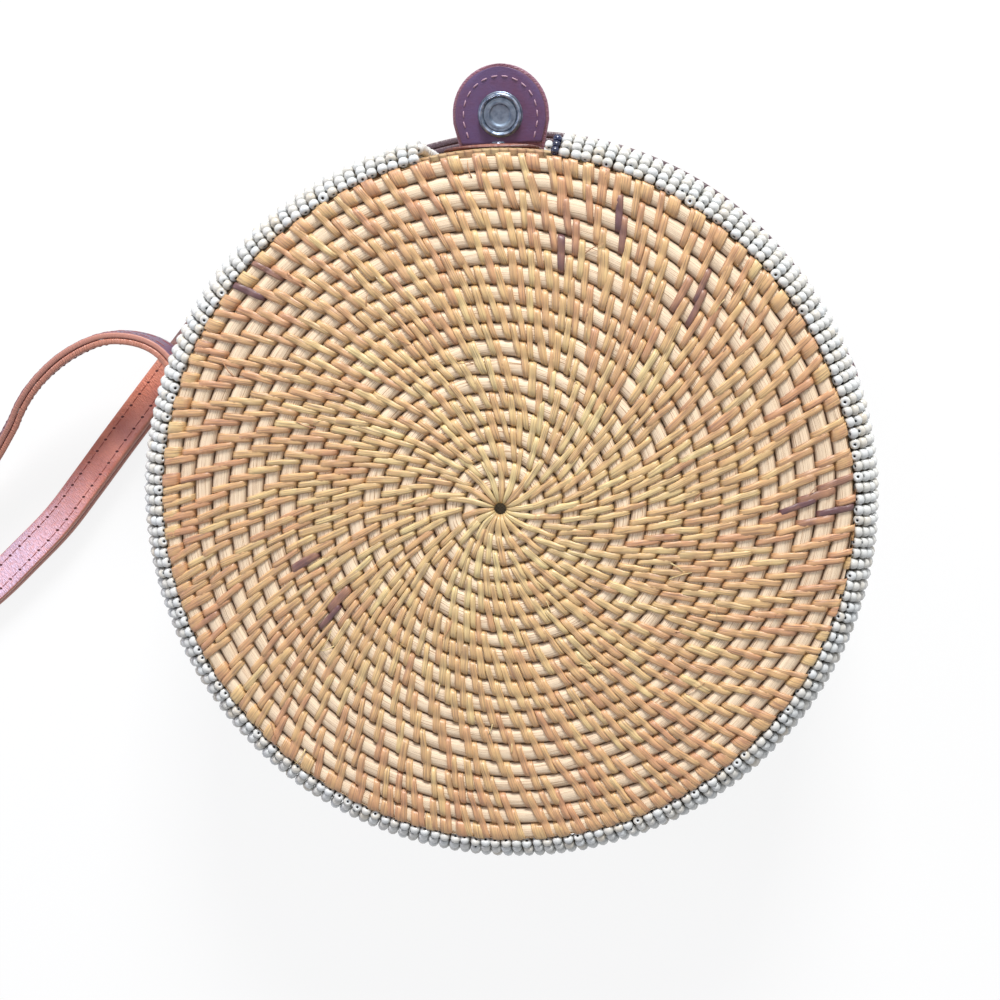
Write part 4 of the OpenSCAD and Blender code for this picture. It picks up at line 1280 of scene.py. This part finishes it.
AGED_STEEL = make_metal("aged_steel", colour(0.58, 0.62, 0.68), colour(0.37, 0.42, 0.50), 0.4)
DULL_STEEL = make_metal("dull_steel", colour(0.52, 0.57, 0.63), colour(0.40, 0.45, 0.52), 0.6)
BRIGHT_STEEL = make_metal("bright_steel", colour(0.90, 0.91, 0.93), colour(0.62, 0.64, 0.68), 0.22)
AGED_BRASS = make_metal("aged_brass", colour(0.78, 0.62, 0.36), colour(0.46, 0.33, 0.18), 0.38)

# %% [markdown]
# ## The snap
#
# The socket is pressed from sheet: a rolled rim, two ridges and a flat floor that takes the stud. A turned
# shape needs only its outline of radius and height, swept round the snap's axis.

# %% Turned pieces
SNAP_PLACE = np.array([0, *on_tab(SNAP_REACH, -1.7 * MM)[0]])
SNAP_AXIS = np.array([0, *TAB_UP])
SOCKET = [(0.05, 0), (5.8, 0), (6.0, 0.25), (6.0, 1.0), (5.85, 1.35), (5.5, 1.58), (5.15, 1.5), (4.9, 1.2),
          (4.7, 0.95), (4.6, 0.5), (0.05, 0.25)]
FLOOR_DISC = [(0.05, 0.2), (4.65, 0.3), (4.72, 0.85), (4.5, 1.0), (4.25, 1.05), (4.0, 0.97), (3.8, 1.0),
              (3.55, 1.07), (3.3, 0.98), (3.15, 1.0), (3.0, 0.92), (2.85, 0.6), (2.7, 0.45), (2.4, 0.42),
              (1.2, 0.42), (0.05, 0.42)]


def turned(profile, sides):
    """A profile of radius and height in millimetres, turned round the snap's axis."""
    profile = np.asarray(profile, float) * MM
    side = np.array([1.0, 0, 0])
    third = np.cross(SNAP_AXIS, side)
    turn = np.arange(sides) * TAU / sides
    ring = np.cos(turn)[:, None] * side + np.sin(turn)[:, None] * third
    points = SNAP_PLACE + profile[:, None, None, 0] * ring + profile[:, None, None, 1] * SNAP_AXIS
    return points, tube_quads(len(profile), sides), {}


make_piece("snap_socket_ring", turned(smooth_path(SOCKET, 3), 64), "tab", AGED_STEEL,
           ("snap_socket",))
make_piece("snap_socket_floor", turned(FLOOR_DISC, 48), "tab", DULL_STEEL)

# %% [markdown]
# The patch under the stud is a plain leather rectangle, wrapped round the wall. It is skived, which means
# pared thin, towards its top edge, so that the stud's bright tip shows past it from above.

# %% The patch under the stud
PATCH_LOW, PATCH_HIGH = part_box("stud_patch")
PATCH_T = 1.4 * MM
PATCH_HALF = 12.4 * MM
PATCH_CORNER = 2.5 * MM
SKIVED = 0.45
SKIVED_FROM, SKIVED_OVER = 50 * MM, 9 * MM


def stud_patch():
    """The patch, with round corners and a thin top edge."""
    heights = np.linspace(PATCH_LOW.z + 0.1 * MM, PATCH_HIGH.z - 0.1 * MM, 40)
    from_end = np.minimum(heights - heights[0], heights[-1] - heights)
    in_corner = np.maximum(PATCH_CORNER - from_end, 0)
    halves = PATCH_HALF - PATCH_CORNER + np.sqrt(PATCH_CORNER ** 2 - in_corner ** 2)
    path = np.column_stack([np.full(len(heights), WALL_R + SEAT + PATCH_T / 2), heights])
    thin = 1 - SKIVED * smooth_step((heights - SKIVED_FROM) / SKIVED_OVER)
    path[:, 0] -= PATCH_T / 2 * (1 - thin)
    return wrapped(flat_ribbon(path, halves, PATCH_T * thin, section(20, 0.5 * MM)), TAU / 4)


make_piece("stud_patch_leather", stud_patch(), "front_shell", BROWN, ("stud_patch",))

# %% [markdown]
# ## The strap
#
# The strap is a long ribbon of two leathers. It leaves the right keeper, lies on edge against the beads round
# the top of the bag, turns over onto the table at the left, makes a loop and comes back on edge to the left
# keeper. Its route is the model's own, a list of places and leans, so the ribbon lies where the model's is.

# %% The strap's route
STRAP_W = 11.5 * MM
STRAP_T = 3.6 * MM
KEEPER_LOW, KEEPER_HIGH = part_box("right_keeper")
KEEPER_Z = (KEEPER_LOW.z + KEEPER_HIGH.z) / 2
KEEPER_HALF_LEN = 13 * MM
KEEPER_HALF = math.degrees(math.asin(KEEPER_HALF_LEN / WALL_R))
ANCHOR_SHARE = 0.75
REST_Z = STRAP_W / 2 + SEAT
ANCHOR_R = WALL_R + SEAT + STRAP_T / 2
HUG_R = BEAD_R + SEAT + STRAP_T / 2 + 0.1 * MM
HUG_FROM, HUG_TO, HUG_STEPS, HUG_SETTLE = 22, 127, 12, 24
LEAVE = ((0.955, 0.17, 0.96), (0.972, 0.235, 0.84), (0.982, 0.3, 0.68))
TABLE = ((-0.785, 0.71, 20), (-0.91, 0.585, 42), (-1.035, 0.435, 60), (-1.165, 0.285, 68),
         (-1.295, 0.135, 70), (-1.405, 0.005, 70), (-1.51, -0.115, 70), (-1.63, -0.225, 72),
         (-1.765, -0.34, 75), (-1.95, -0.47, 78), (-2.2, -0.62, 80), (-2.5, -0.79, 76),
         (-2.8, -0.95, 64), (-3.1, -1.08, 46), (-3.36, -1.13, 26), (-3.58, -1.08, 10),
         (-3.68, -0.92, 0), (-3.62, -0.74, 0), (-3.42, -0.61, 0))
BACK = ((-3.1, -0.49, 0, 0), (-2.75, -0.38, 0, 0), (-2.4, -0.27, 0, 0), (-2.1, -0.16, 0.06, -4),
        (-1.86, -0.05, 0.2, -12), (-1.7, 0.07, 0.42, -20), (-1.59, 0.2, 0.62, -22),
        (-1.53, 0.285, 0.76, -20), (-1.452, 0.362, 0.88, -14), (-1.35, 0.43, 0.97, -8),
        (-1.235, 0.471, 1, -3), (-1.13, 0.465, 1, 0), (-1.05, 0.425, 1, 0), (-0.998, 0.345, 1, 0),
        (-0.974, 0.25, 1, 0), (-0.951, 0.16, 1, 0))


def polar(r, degrees):
    """X and Y of a place at a radius and an angle."""
    return r * math.cos(math.radians(degrees)), r * math.sin(math.radians(degrees))


def lift_z(share):
    """Height of the strap's middle, from 0 on the table to 1 at the keepers."""
    return REST_Z + share * (KEEPER_Z - REST_Z)


def lean_z(lean):
    """Height of the strap's middle on the table, for its lean in degrees."""
    return SEAT + math.cos(math.radians(lean)) * STRAP_W / 2 + math.sin(math.radians(lean)) * STRAP_T / 2


def strap_route():
    """The strap's middle from keeper to keeper: x, y, z and lean."""
    start, half = ANCHOR_SHARE * KEEPER_HALF, KEEPER_HALF
    route = [(*polar(ANCHOR_R, a), KEEPER_Z, 0) for a in (-start, 0, half)]
    route += [(x * BEAD_R, y * BEAD_R, lift_z(lift), 0) for x, y, lift in LEAVE]
    for a in np.linspace(HUG_FROM, HUG_TO, HUG_STEPS + 1):
        route.append((*polar(HUG_R, a), lift_z(max(0, 1 - (a - half) / HUG_SETTLE)), 0))
    route += [(x * BEAD_R, y * BEAD_R, lean_z(lean), lean) for x, y, lean in TABLE]
    route += [(x * BEAD_R, y * BEAD_R, lift_z(lift), lean) for x, y, lift, lean in BACK]
    return route + [(*polar(ANCHOR_R, a), KEEPER_Z, 0) for a in (180 - half, 180, 180 + start)]


def along_strap(step):
    """Middles, face directions and width directions at even steps along the strap, and its length."""
    dense = smooth_path(strap_route(), 24)
    lengths = running(dense[:, :3])
    even = np.linspace(0, lengths[-1], int(lengths[-1] / step) + 1)
    path = np.column_stack([np.interp(even, lengths, column) for column in dense.T])
    way = unit(np.gradient(path[:, :2], axis=0))
    side = np.column_stack([way[:, 1], -way[:, 0], np.zeros(len(way))])
    lean = np.radians(path[:, 3])[:, None]
    up = np.array([0, 0, 1.0])
    face = np.cos(lean) * side + np.sin(lean) * up
    return path[:, :3], face, np.cos(lean) * up - np.sin(lean) * side, lengths[-1]


# %% [markdown]
# Beside the bag the strap gets a dark painted shade on its edges and its face. Where it lies loose on the
# table, its face gets a pale lilac painted sheen. Both fade with the place, and only the first half of the
# strap has them.

# %% The strap's two leathers
STRAP_STEP = 1.8 * MM
LAYER_GAP = 0.05 * MM
LAYER_T = STRAP_T / 2 - LAYER_GAP
LAYER_OUT = STRAP_T / 4 + LAYER_GAP / 2
# Where and how strongly the strap gets its painted shade.
STRAP_SHADE_TONE = 1.8
STRAP_SHADE_REACH = HUG_R + 22 * MM
STRAP_SHADE_TO, STRAP_SHADE_FADE = 166, 9
# The stretch of strap on the table that gets the painted sheen.
SHEEN_FROM, SHEEN_RISE = -132 * MM, 34 * MM
SHEEN_TO, SHEEN_FALL = -270 * MM, 60 * MM
middles, face, width, strap_length = along_strap(STRAP_STEP)
x, y = middles[:, :1], middles[:, 1:2]
first_half = np.arange(len(x))[:, None] < len(x) // 2
turned_by = np.degrees(np.arctan2(y, x))
beside_bag = first_half & (turned_by > 0) & (np.hypot(x, y) < STRAP_SHADE_REACH)
# Painted shade on the strap beside the bag, fading out towards its turn onto the table.
strap_shade = beside_bag * smooth_step((STRAP_SHADE_TO - turned_by) / STRAP_SHADE_FADE)
# Painted sheen on the strap's face where it lies loose on the table.
sheen_place = smooth_step((SHEEN_FROM - x) / SHEEN_RISE) * smooth_step((x - SHEEN_TO) / SHEEN_FALL)
sheen_place = sheen_place * first_half
for name, out, material, slot, node in (
        ("strap_outer_leather", LAYER_OUT, COGNAC, "leather", "strap_leather"),
        ("strap_inner_leather", -LAYER_OUT, STRAP_PLUM, "leather_lining", "strap_lining")):
    points, faces, values = ribbon(middles + face * out, width, face, STRAP_W / 2, LAYER_T,
                                   section(8, 0.4 * MM))
    tone = values["tone"].reshape(len(middles), -1)
    # Where the painted shade lies, the edges' tone rises towards 2 and the faces' to 1.8.
    tone = np.maximum(tone * (1 + strap_shade), STRAP_SHADE_TONE * strap_shade)
    # Faces outside the painted shade take the painted sheen as a negative tone.
    values["tone"] = np.where(tone > 0, tone, -sheen_place).ravel()
    make_piece(name, (points, faces, values), "back_shell", material, (node,))
print(f"Strap from keeper to keeper: {strap_length / MM:.0f} mm")

# %% [markdown]
# Two seams of brown thread hold the strap's leathers together. Each stitch pulls into its holes, and the
# shade in each hole is painted as a short dark slit. A slit is the same dash again, shorter, wider, dark and
# slanted.

# %% The strap's stitches, with the painted shade of a hole between each two
STITCH_ROW = 3.0 * MM
STITCH_PROUD = 0.13 * MM
STITCH_PITCH = 4.7 * MM
STITCH_LEN, STITCH_T = 4.2 * MM, 0.36 * MM
# Size of the dark slits that paint the shade in the stitch holes.
HOLE_SHADE_LEN, HOLE_SHADE_T = 2.3 * MM, 1.0 * MM
HOLE_LEAN = -0.9


def strap_stitches(length, thick, between):
    """Stitches in two rows on both faces. between moves them half a pitch and turns them, for the painted
    shade of the holes.
    """
    middles, face, width, _ = along_strap(STITCH_PITCH)
    if between:
        middles, face, width = ((v[1:] + v[:-1]) / 2 for v in (middles, face, width))
    ways = unit(np.gradient(middles, axis=0))
    if between:
        ways = ways + HOLE_LEAN * width
    sunk = DASH_TOP * thick - STITCH_PROUD
    parts = [dashes(middles + width * row + face * out * (STRAP_T / 2 - sunk), ways, face * out,
                    length, thick)
             for row in (-STITCH_ROW, STITCH_ROW) for out in (-1, 1)]
    return joined(parts)


make_piece("strap_stitches", strap_stitches(STITCH_LEN, STITCH_T, False), "back_shell", THREAD_BROWN)
# Painted shade of the stitch holes, as dark slanted slits.
make_piece("strap_stitch_hole_shades", strap_stitches(HOLE_SHADE_LEN, HOLE_SHADE_T, True), "back_shell", STITCH_HOLE_SHADE)

# %% [markdown]
# Each end of the strap passes under a keeper, a piece of brown leather with a flange above and below the
# strap. It is drawn flat as a ribbon along its hat-shaped section and then wrapped round the wall.

# %% The keepers
KEEPER_SECTION = ((94.6, -12.0), (94.6, -8.8), (94.9, -7.5), (96.0, -6.85), (97.3, -6.75), (98.2, -6.3),
                  (98.5, -5.2), (98.5, -2.6))


def keeper(turn):
    """The keeper at an angle round the wall."""
    half = np.array(KEEPER_SECTION)
    path = smooth_path(np.concatenate([half, half[::-1] * [1, -1]]) * MM, 3)
    path[:, 1] += KEEPER_Z
    return wrapped(flat_ribbon(path, KEEPER_HALF_LEN, 1.35 * MM, section(14, 0.5 * MM)), turn)


for side, turn in (("right", 0.0), ("left", TAU / 2)):
    make_piece(f"{side}_strap_keeper", keeper(turn), "back_shell", BROWN, (f"{side}_keeper",))

# %% [markdown]
# ## The hinge
#
# Each shell has a leather leaf whose tongues curl round a cane pin and take turns along it. A leaf is one
# wrapped ribbon, and each tongue a narrower one that runs out from it and three quarters of the way round.

# %% The hinge leaves and their tongues
HINGE_W = 40 * MM
HINGE_LOOPS = 5
LOOP_GAP = 0.5 * MM
LOOP_PITCH = (HINGE_W + LOOP_GAP) / HINGE_LOOPS
PIN_OUT = -sum(corner.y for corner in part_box("hinge_pin")) / 2
LEAF_R = WALL_R + SEAT + 1.25 * MM
LOOP_R = 2.38 * MM
LOOP_T = 1.15 * MM
LEAF_NEAR, LEAF_FAR = 3.5 * MM, 18.7 * MM
LEAF_T = 2.4 * MM
TONGUE_START = np.array([[95.2, 6.2], [95.6, 4.6], [97.0, 3.1]]) * MM


def tongue(index, up):
    """One tongue: out from the leaf and round the pin."""
    turn = np.radians(np.linspace(100, -150, 22))
    round_it = np.column_stack([PIN_OUT + LOOP_R * np.cos(turn), LOOP_R * np.sin(turn)])
    path = np.concatenate([TONGUE_START, round_it])
    path[:, 1] = MID_Z + up * path[:, 1]
    points, faces, values = flat_ribbon(path, (LOOP_PITCH - LOOP_GAP) / 2 - 0.05 * MM, LOOP_T,
                                        section(4, 0.3 * MM), own=index)
    points[..., 0] += -HINGE_W / 2 + index * LOOP_PITCH + (LOOP_PITCH - LOOP_GAP) / 2
    points[..., 1] *= -1
    return points, faces, values


def hinge_leaf(first, up):
    """A leaf and its tongues, every second one from the first."""
    heights = MID_Z + up * np.linspace(LEAF_NEAR + 0.2 * MM, LEAF_FAR - 0.1 * MM, 12)
    path = np.column_stack([np.full(len(heights), LEAF_R), heights])
    leaf = wrapped(flat_ribbon(path, HINGE_W / 2 - 0.1 * MM, LEAF_T, section(20, 0.7 * MM)), -TAU / 4)
    return joined([leaf] + [tongue(index, up) for index in range(first, HINGE_LOOPS, 2)])


for side, first, up in (("back", 0, -1), ("front", 1, 1)):
    make_piece(f"{side}_hinge_leather", hinge_leaf(first, up), f"{side}_shell", BROWN,
               (f"{side}_hinge_leaf",))

# %% [markdown]
# ## Cloth
#
# A cotton tape under the beads carries their threads, and each shell has a cotton lining. Both are plain
# weave. The weave is a product of two sine waves, which stands up where warp and weft cross, and it follows
# the `grain` attribute, so that it runs round the wall with the cloth.

# %% Group: plain weave
def make_weave():
    """Threads of a plain weave, and slow unevenness across many threads."""
    group, given, out = new_group("weave", [("Grain", "vector", None), ("Threads", "value", 5500.0)],
                                  [("Height", "value"), ("Uneven", "value")])
    grain = given.outputs["Grain"]
    scaled = add(group, "ShaderNodeVectorMath", {0: grain, "Scale": given.outputs["Threads"]},
                 operation="SCALE")
    parts = add(group, "ShaderNodeSeparateXYZ", {0: scaled.outputs[0]})
    waves = math_node(group, "MULTIPLY", math_node(group, "SINE", parts.outputs[0]),
                      math_node(group, "SINE", parts.outputs[1]))
    height = math_node(group, "ADD", math_node(group, "MULTIPLY", waves, 0.5), 0.5)
    group.links.new(height, out.inputs["Height"])
    group.links.new(noise(group, grain, 400.0, 4.0), out.inputs["Uneven"])
    return group


WEAVE = make_weave()


def make_cloth(name, face, shade):
    """Cotton cloth whose threads are paler on their crowns."""
    mat, tree, shader = new_material(name, Roughness=0.9, Sheen_Weight=0.25)
    woven = place_group(tree, WEAVE, {"Grain": attribute(tree, "grain")})
    threads = mix_colour(tree, woven.outputs["Height"], shade, face)
    worn = mix_colour(tree, math_node(tree, "MULTIPLY", woven.outputs["Uneven"], 0.4), threads, shade)
    tree.links.new(worn, shader.inputs["Base Color"])
    bump(tree, shader, woven.outputs["Height"], 0.6, 0.2 * MM)
    return mat


TAPE_COTTON = make_cloth("tape_cotton", colour(0.88, 0.86, 0.80), colour(0.72, 0.69, 0.62))
LINING_COTTON = make_cloth("lining_cotton", colour(0.83, 0.76, 0.65), colour(0.68, 0.60, 0.48))

# %% [markdown]
# The tape is one ribbon for each stretch of beads. The beads' threads hold it stretched on the wall, so it
# has no folds and needs no simulation.

# %% The tapes under the beads
TAPE_R = WALL_R + SEAT + 1.1 * MM
TAPE_T = 0.9 * MM
TAPE_FROM = 6.4 * MM
TAPE_SHORT = 2.6 * MM
TAPE_W = ROW_END - TAPE_FROM


def bead_tape(spans):
    """The tape over spans of angles, in a shell's own frame, and its length."""
    parts, total = [], 0
    for low, high in spans:
        low, high = low + TAPE_SHORT / TAPE_R, high - TAPE_SHORT / TAPE_R
        angle = np.linspace(low, high, max(6, int((high - low) * 40)))
        out = np.column_stack([np.cos(angle), np.sin(angle), 0 * angle])
        middles = out * TAPE_R - [0, 0, TAPE_FROM + TAPE_W / 2]
        across = np.tile([0, 0, 1.0], (len(angle), 1))
        parts.append(ribbon(middles, across, out, TAPE_W / 2, TAPE_T, section(10, 0.3 * MM)))
        total += (high - low) * TAPE_R
    return joined(parts), total


HINGE_AT = 3 * TAU / 4
FRONT_SPANS = ((ROW_FROM, HINGE_AT - HINGE_HALF), (HINGE_AT + HINGE_HALF, ROW_TO))
BACK_SPANS = ((ROW_FROM, TAU / 2 - KEEPER_AFTER), (TAU / 2 + KEEPER_BEFORE, HINGE_AT - HINGE_HALF),
              (HINGE_AT + HINGE_HALF, TAU - KEEPER_BEFORE), (TAU + KEEPER_AFTER, ROW_TO))
for side, up, spans in (("front", True, FRONT_SPANS), ("back", False, BACK_SPANS)):
    shape, length = bead_tape(spans)
    tape = make_piece(f"{side}_bead_tape", in_shell(shape, up), f"{side}_shell", TAPE_COTTON,
                      (f"{side}_bead_backing",))
    print(f"{side} tape: {TAPE_W / MM:.1f} by {length / MM:.0f} mm")

# %% [markdown]
# Each lining is a cup of cotton that lies on the floor and the wall of its shell, with a hem at the rim. Its
# folds only stand inwards, away from what carries it.

# %% The linings
LINING_R = 87.2 * MM
LINING_T = 0.55 * MM
LINING_TOP = 5.4 * MM
LINING_ROUND = 3 * MM
LINING_SIDES = 120
LINING_MIDDLE = 0.3 * MM
HEM = 5 * MM
HEM_T = 0.3 * MM
FOLD_WAVES = (5, 9, 14, 23)


def lining_profile():
    """Radius and depth from the outside's middle, over the rim of the cup, to the inside's middle."""
    floor_r = np.linspace(LINING_MIDDLE, LINING_R - LINING_ROUND, 16)
    turn = np.linspace(TAU / 4, 0, 7)[1:]
    corner = np.column_stack([LINING_R - LINING_ROUND + LINING_ROUND * np.cos(turn),
                              LINING_TOP + LINING_ROUND * (1 - np.sin(turn))])
    side = np.column_stack([np.full(12, LINING_R), np.linspace(LINING_TOP + 4 * MM, ROW_END - 1 * MM, 12)])
    outside = np.concatenate([np.column_stack([floor_r, np.full(16, LINING_TOP)]), corner, side])
    inside = outside[::-1].copy()
    inside[:, 0] = np.maximum(inside[:, 0] - LINING_T * (inside[:, 1] > LINING_TOP + MM), LINING_MIDDLE)
    inside[:, 1] += LINING_T * (inside[:, 1] < LINING_TOP + 2.5 * MM)
    inside[inside[:, 1] > ROW_END - HEM, 0] -= HEM_T
    return np.concatenate([outside, inside])


def lining_cup(seed):
    """A lining in a shell's own frame. grain runs in X and Y on the floor and round the wall at the side."""
    rng = np.random.default_rng(seed)
    profile = lining_profile()
    angle = np.arange(LINING_SIDES) * TAU / LINING_SIDES
    folds = sum(rng.uniform(0.2, 0.6) * np.sin(k * angle + rng.uniform(0, TAU)) for k in FOLD_WAVES)
    folds = np.maximum(folds, 0) * MM
    on_side = smooth_step((profile[:, 1] - LINING_TOP - 2 * MM) / (8 * MM))
    on_floor = smooth_step(profile[:, 0] / (70 * MM)) * (1 - on_side)
    r = profile[:, :1] - folds * on_side[:, None]
    depth = profile[:, 1:] + folds * on_floor[:, None] * 0.8
    points = np.stack([r * np.cos(angle), r * np.sin(angle), -np.broadcast_to(depth, r.shape)], -1)
    grain = np.stack(np.broadcast_arrays(points[..., 0], points[..., 1], 0.0), -1)
    on_wall = np.stack(np.broadcast_arrays(angle * LINING_R, running(profile)[:, None], 1.0), -1)
    grain = np.where((profile[:, 1] > LINING_TOP + LINING_ROUND)[:, None, None], on_wall, grain)
    return points, tube_quads(len(profile), LINING_SIDES), {"grain": grain}


for side, up, seed in (("front", True, 3), ("back", False, 8)):
    cup = make_piece(f"{side}_cotton_lining", in_shell(lining_cup(seed), up), f"{side}_shell", LINING_COTTON,
                     (f"{side}_lining",))

# %% [markdown]
# ## Finishes on the model's own pieces
#
# The walls, the snap's cap and stud, the rivets and the hinge pin keep the model's shapes and only get a
# finish. The wall is coiled cane like the disc. Its pattern is worked out from the place on the wall: the
# angle gives the wrap, the height gives the coil, and each wrap has a tone of its own.

# %% Material: the coiled wall, and the cane pin
WRAP_W = 2.3 * MM
WRAP_LEAN = 130.0
WALL_COIL_H = 4.9 * MM
COIL_SHIFT = 0.37
# The band of wall near each disc that gets a painted shade.
RIM_SHADE_H = 8 * MM
RIM_SHADE_FADE = 250.0


def make_wall_cane():
    """Wraps round stacked coils, each an arch with its own tone. Each wrap darkens towards its edges, partly
    dark gaps and partly painted shade, and a painted shade darkens the wall near both discs.
    """
    mat, tree, shader = new_material("wall_cane", Coat_Weight=0.15, Coat_Roughness=0.35)
    place = object_place(tree)
    parts = add(tree, "ShaderNodeSeparateXYZ", {0: place})
    coil = math_node(tree, "FLOOR", math_node(tree, "DIVIDE", parts.outputs[2], WALL_COIL_H))
    angle = math_node(tree, "ARCTAN2", parts.outputs[1], parts.outputs[0])
    round_it = math_node(tree, "MULTIPLY", angle, WALL_R / WRAP_W)
    slanted = math_node(tree, "ADD", round_it, math_node(tree, "MULTIPLY", parts.outputs[2], WRAP_LEAN))
    shifted = math_node(tree, "ADD", slanted, math_node(tree, "MULTIPLY", coil, COIL_SHIFT))
    share = math_node(tree, "FRACT", shifted)
    arch = math_node(tree, "SINE", math_node(tree, "MULTIPLY", share, TAU / 2))
    own = add(tree, "ShaderNodeCombineXYZ", {0: math_node(tree, "FLOOR", shifted), 1: coil})
    tone = add(tree, "ShaderNodeTexWhiteNoise", {"Vector": own.outputs[0]}, noise_dimensions="3D")
    across = math_node(tree, "MULTIPLY", share, WRAP_W)
    grain = add(tree, "ShaderNodeCombineXYZ", {0: parts.outputs[2], 1: across, 2: tone.outputs[0]})
    cane = place_group(tree, FIBRES, {"Grain": grain.outputs[0], "Fineness": 3000.0, "Length": 150.0})
    hue = ramp(tree, tone.outputs[0], [(0.0, STRIP_PALE), (0.5, STRIP_STRAW), (1.0, STRIP_PINK)])
    lined = mix_colour(tree, math_node(tree, "MULTIPLY", cane.outputs["Streaks"], 0.5), hue, DARK_CANE_AND_SHADE)
    # Each wrap darkens towards its edges: dark gaps between the wraps, and painted shade on the wrap's
    # rounded sides.
    edge = math_node(tree, "SUBTRACT", 1.0, math_node(tree, "POWER", arch, 0.35), clamp=True)
    # Painted shade on the wall within a few millimetres of each disc, where the disc's rim overhangs it.
    from_mid = math_node(tree, "ABSOLUTE", math_node(tree, "SUBTRACT", parts.outputs[2], MID_Z))
    past = math_node(tree, "SUBTRACT", from_mid, MID_Z - RIM_SHADE_H)
    rim_shade = math_node(tree, "MULTIPLY", past, RIM_SHADE_FADE, clamp=True)
    shaded = mix_colour(tree, math_node(tree, "MULTIPLY", rim_shade, 0.75), lined, DARK_CANE_AND_SHADE)
    tree.links.new(mix_colour(tree, edge, shaded, DARK_CANE_AND_SHADE), shader.inputs["Base Color"])
    shader.inputs["Roughness"].default_value = 0.5
    bump(tree, shader, math_node(tree, "POWER", arch, 0.5), 0.8, 0.4 * MM)
    return mat


def make_pin_cane():
    """A straight peeled cane with fibres along it."""
    mat, tree, shader = new_material("pin_cane", Roughness=0.5)
    cane = place_group(tree, FIBRES, {"Grain": object_place(tree), "Fineness": 2500.0, "Length": 60.0})
    shade = ramp(tree, cane.outputs["Streaks"], [(0.3, STRIP_PINK), (0.6, STRIP_STRAW)])
    tree.links.new(shade, shader.inputs["Base Color"])
    bump(tree, shader, cane.outputs["Streaks"], 0.4, 0.2 * MM)
    return mat


WALL_CANE = make_wall_cane()
for name, material in (("front_wall", WALL_CANE), ("back_wall", WALL_CANE), ("hinge_pin", make_pin_cane()),
                       ("snap_cap", AGED_STEEL), ("snap_stud", BRIGHT_STEEL), ("stud_burr", AGED_BRASS),
                       ("rivets", AGED_BRASS), ("rivet_burrs", AGED_BRASS)):
    slots = nodes[name].data.materials
    slots.clear()
    slots.append(material)
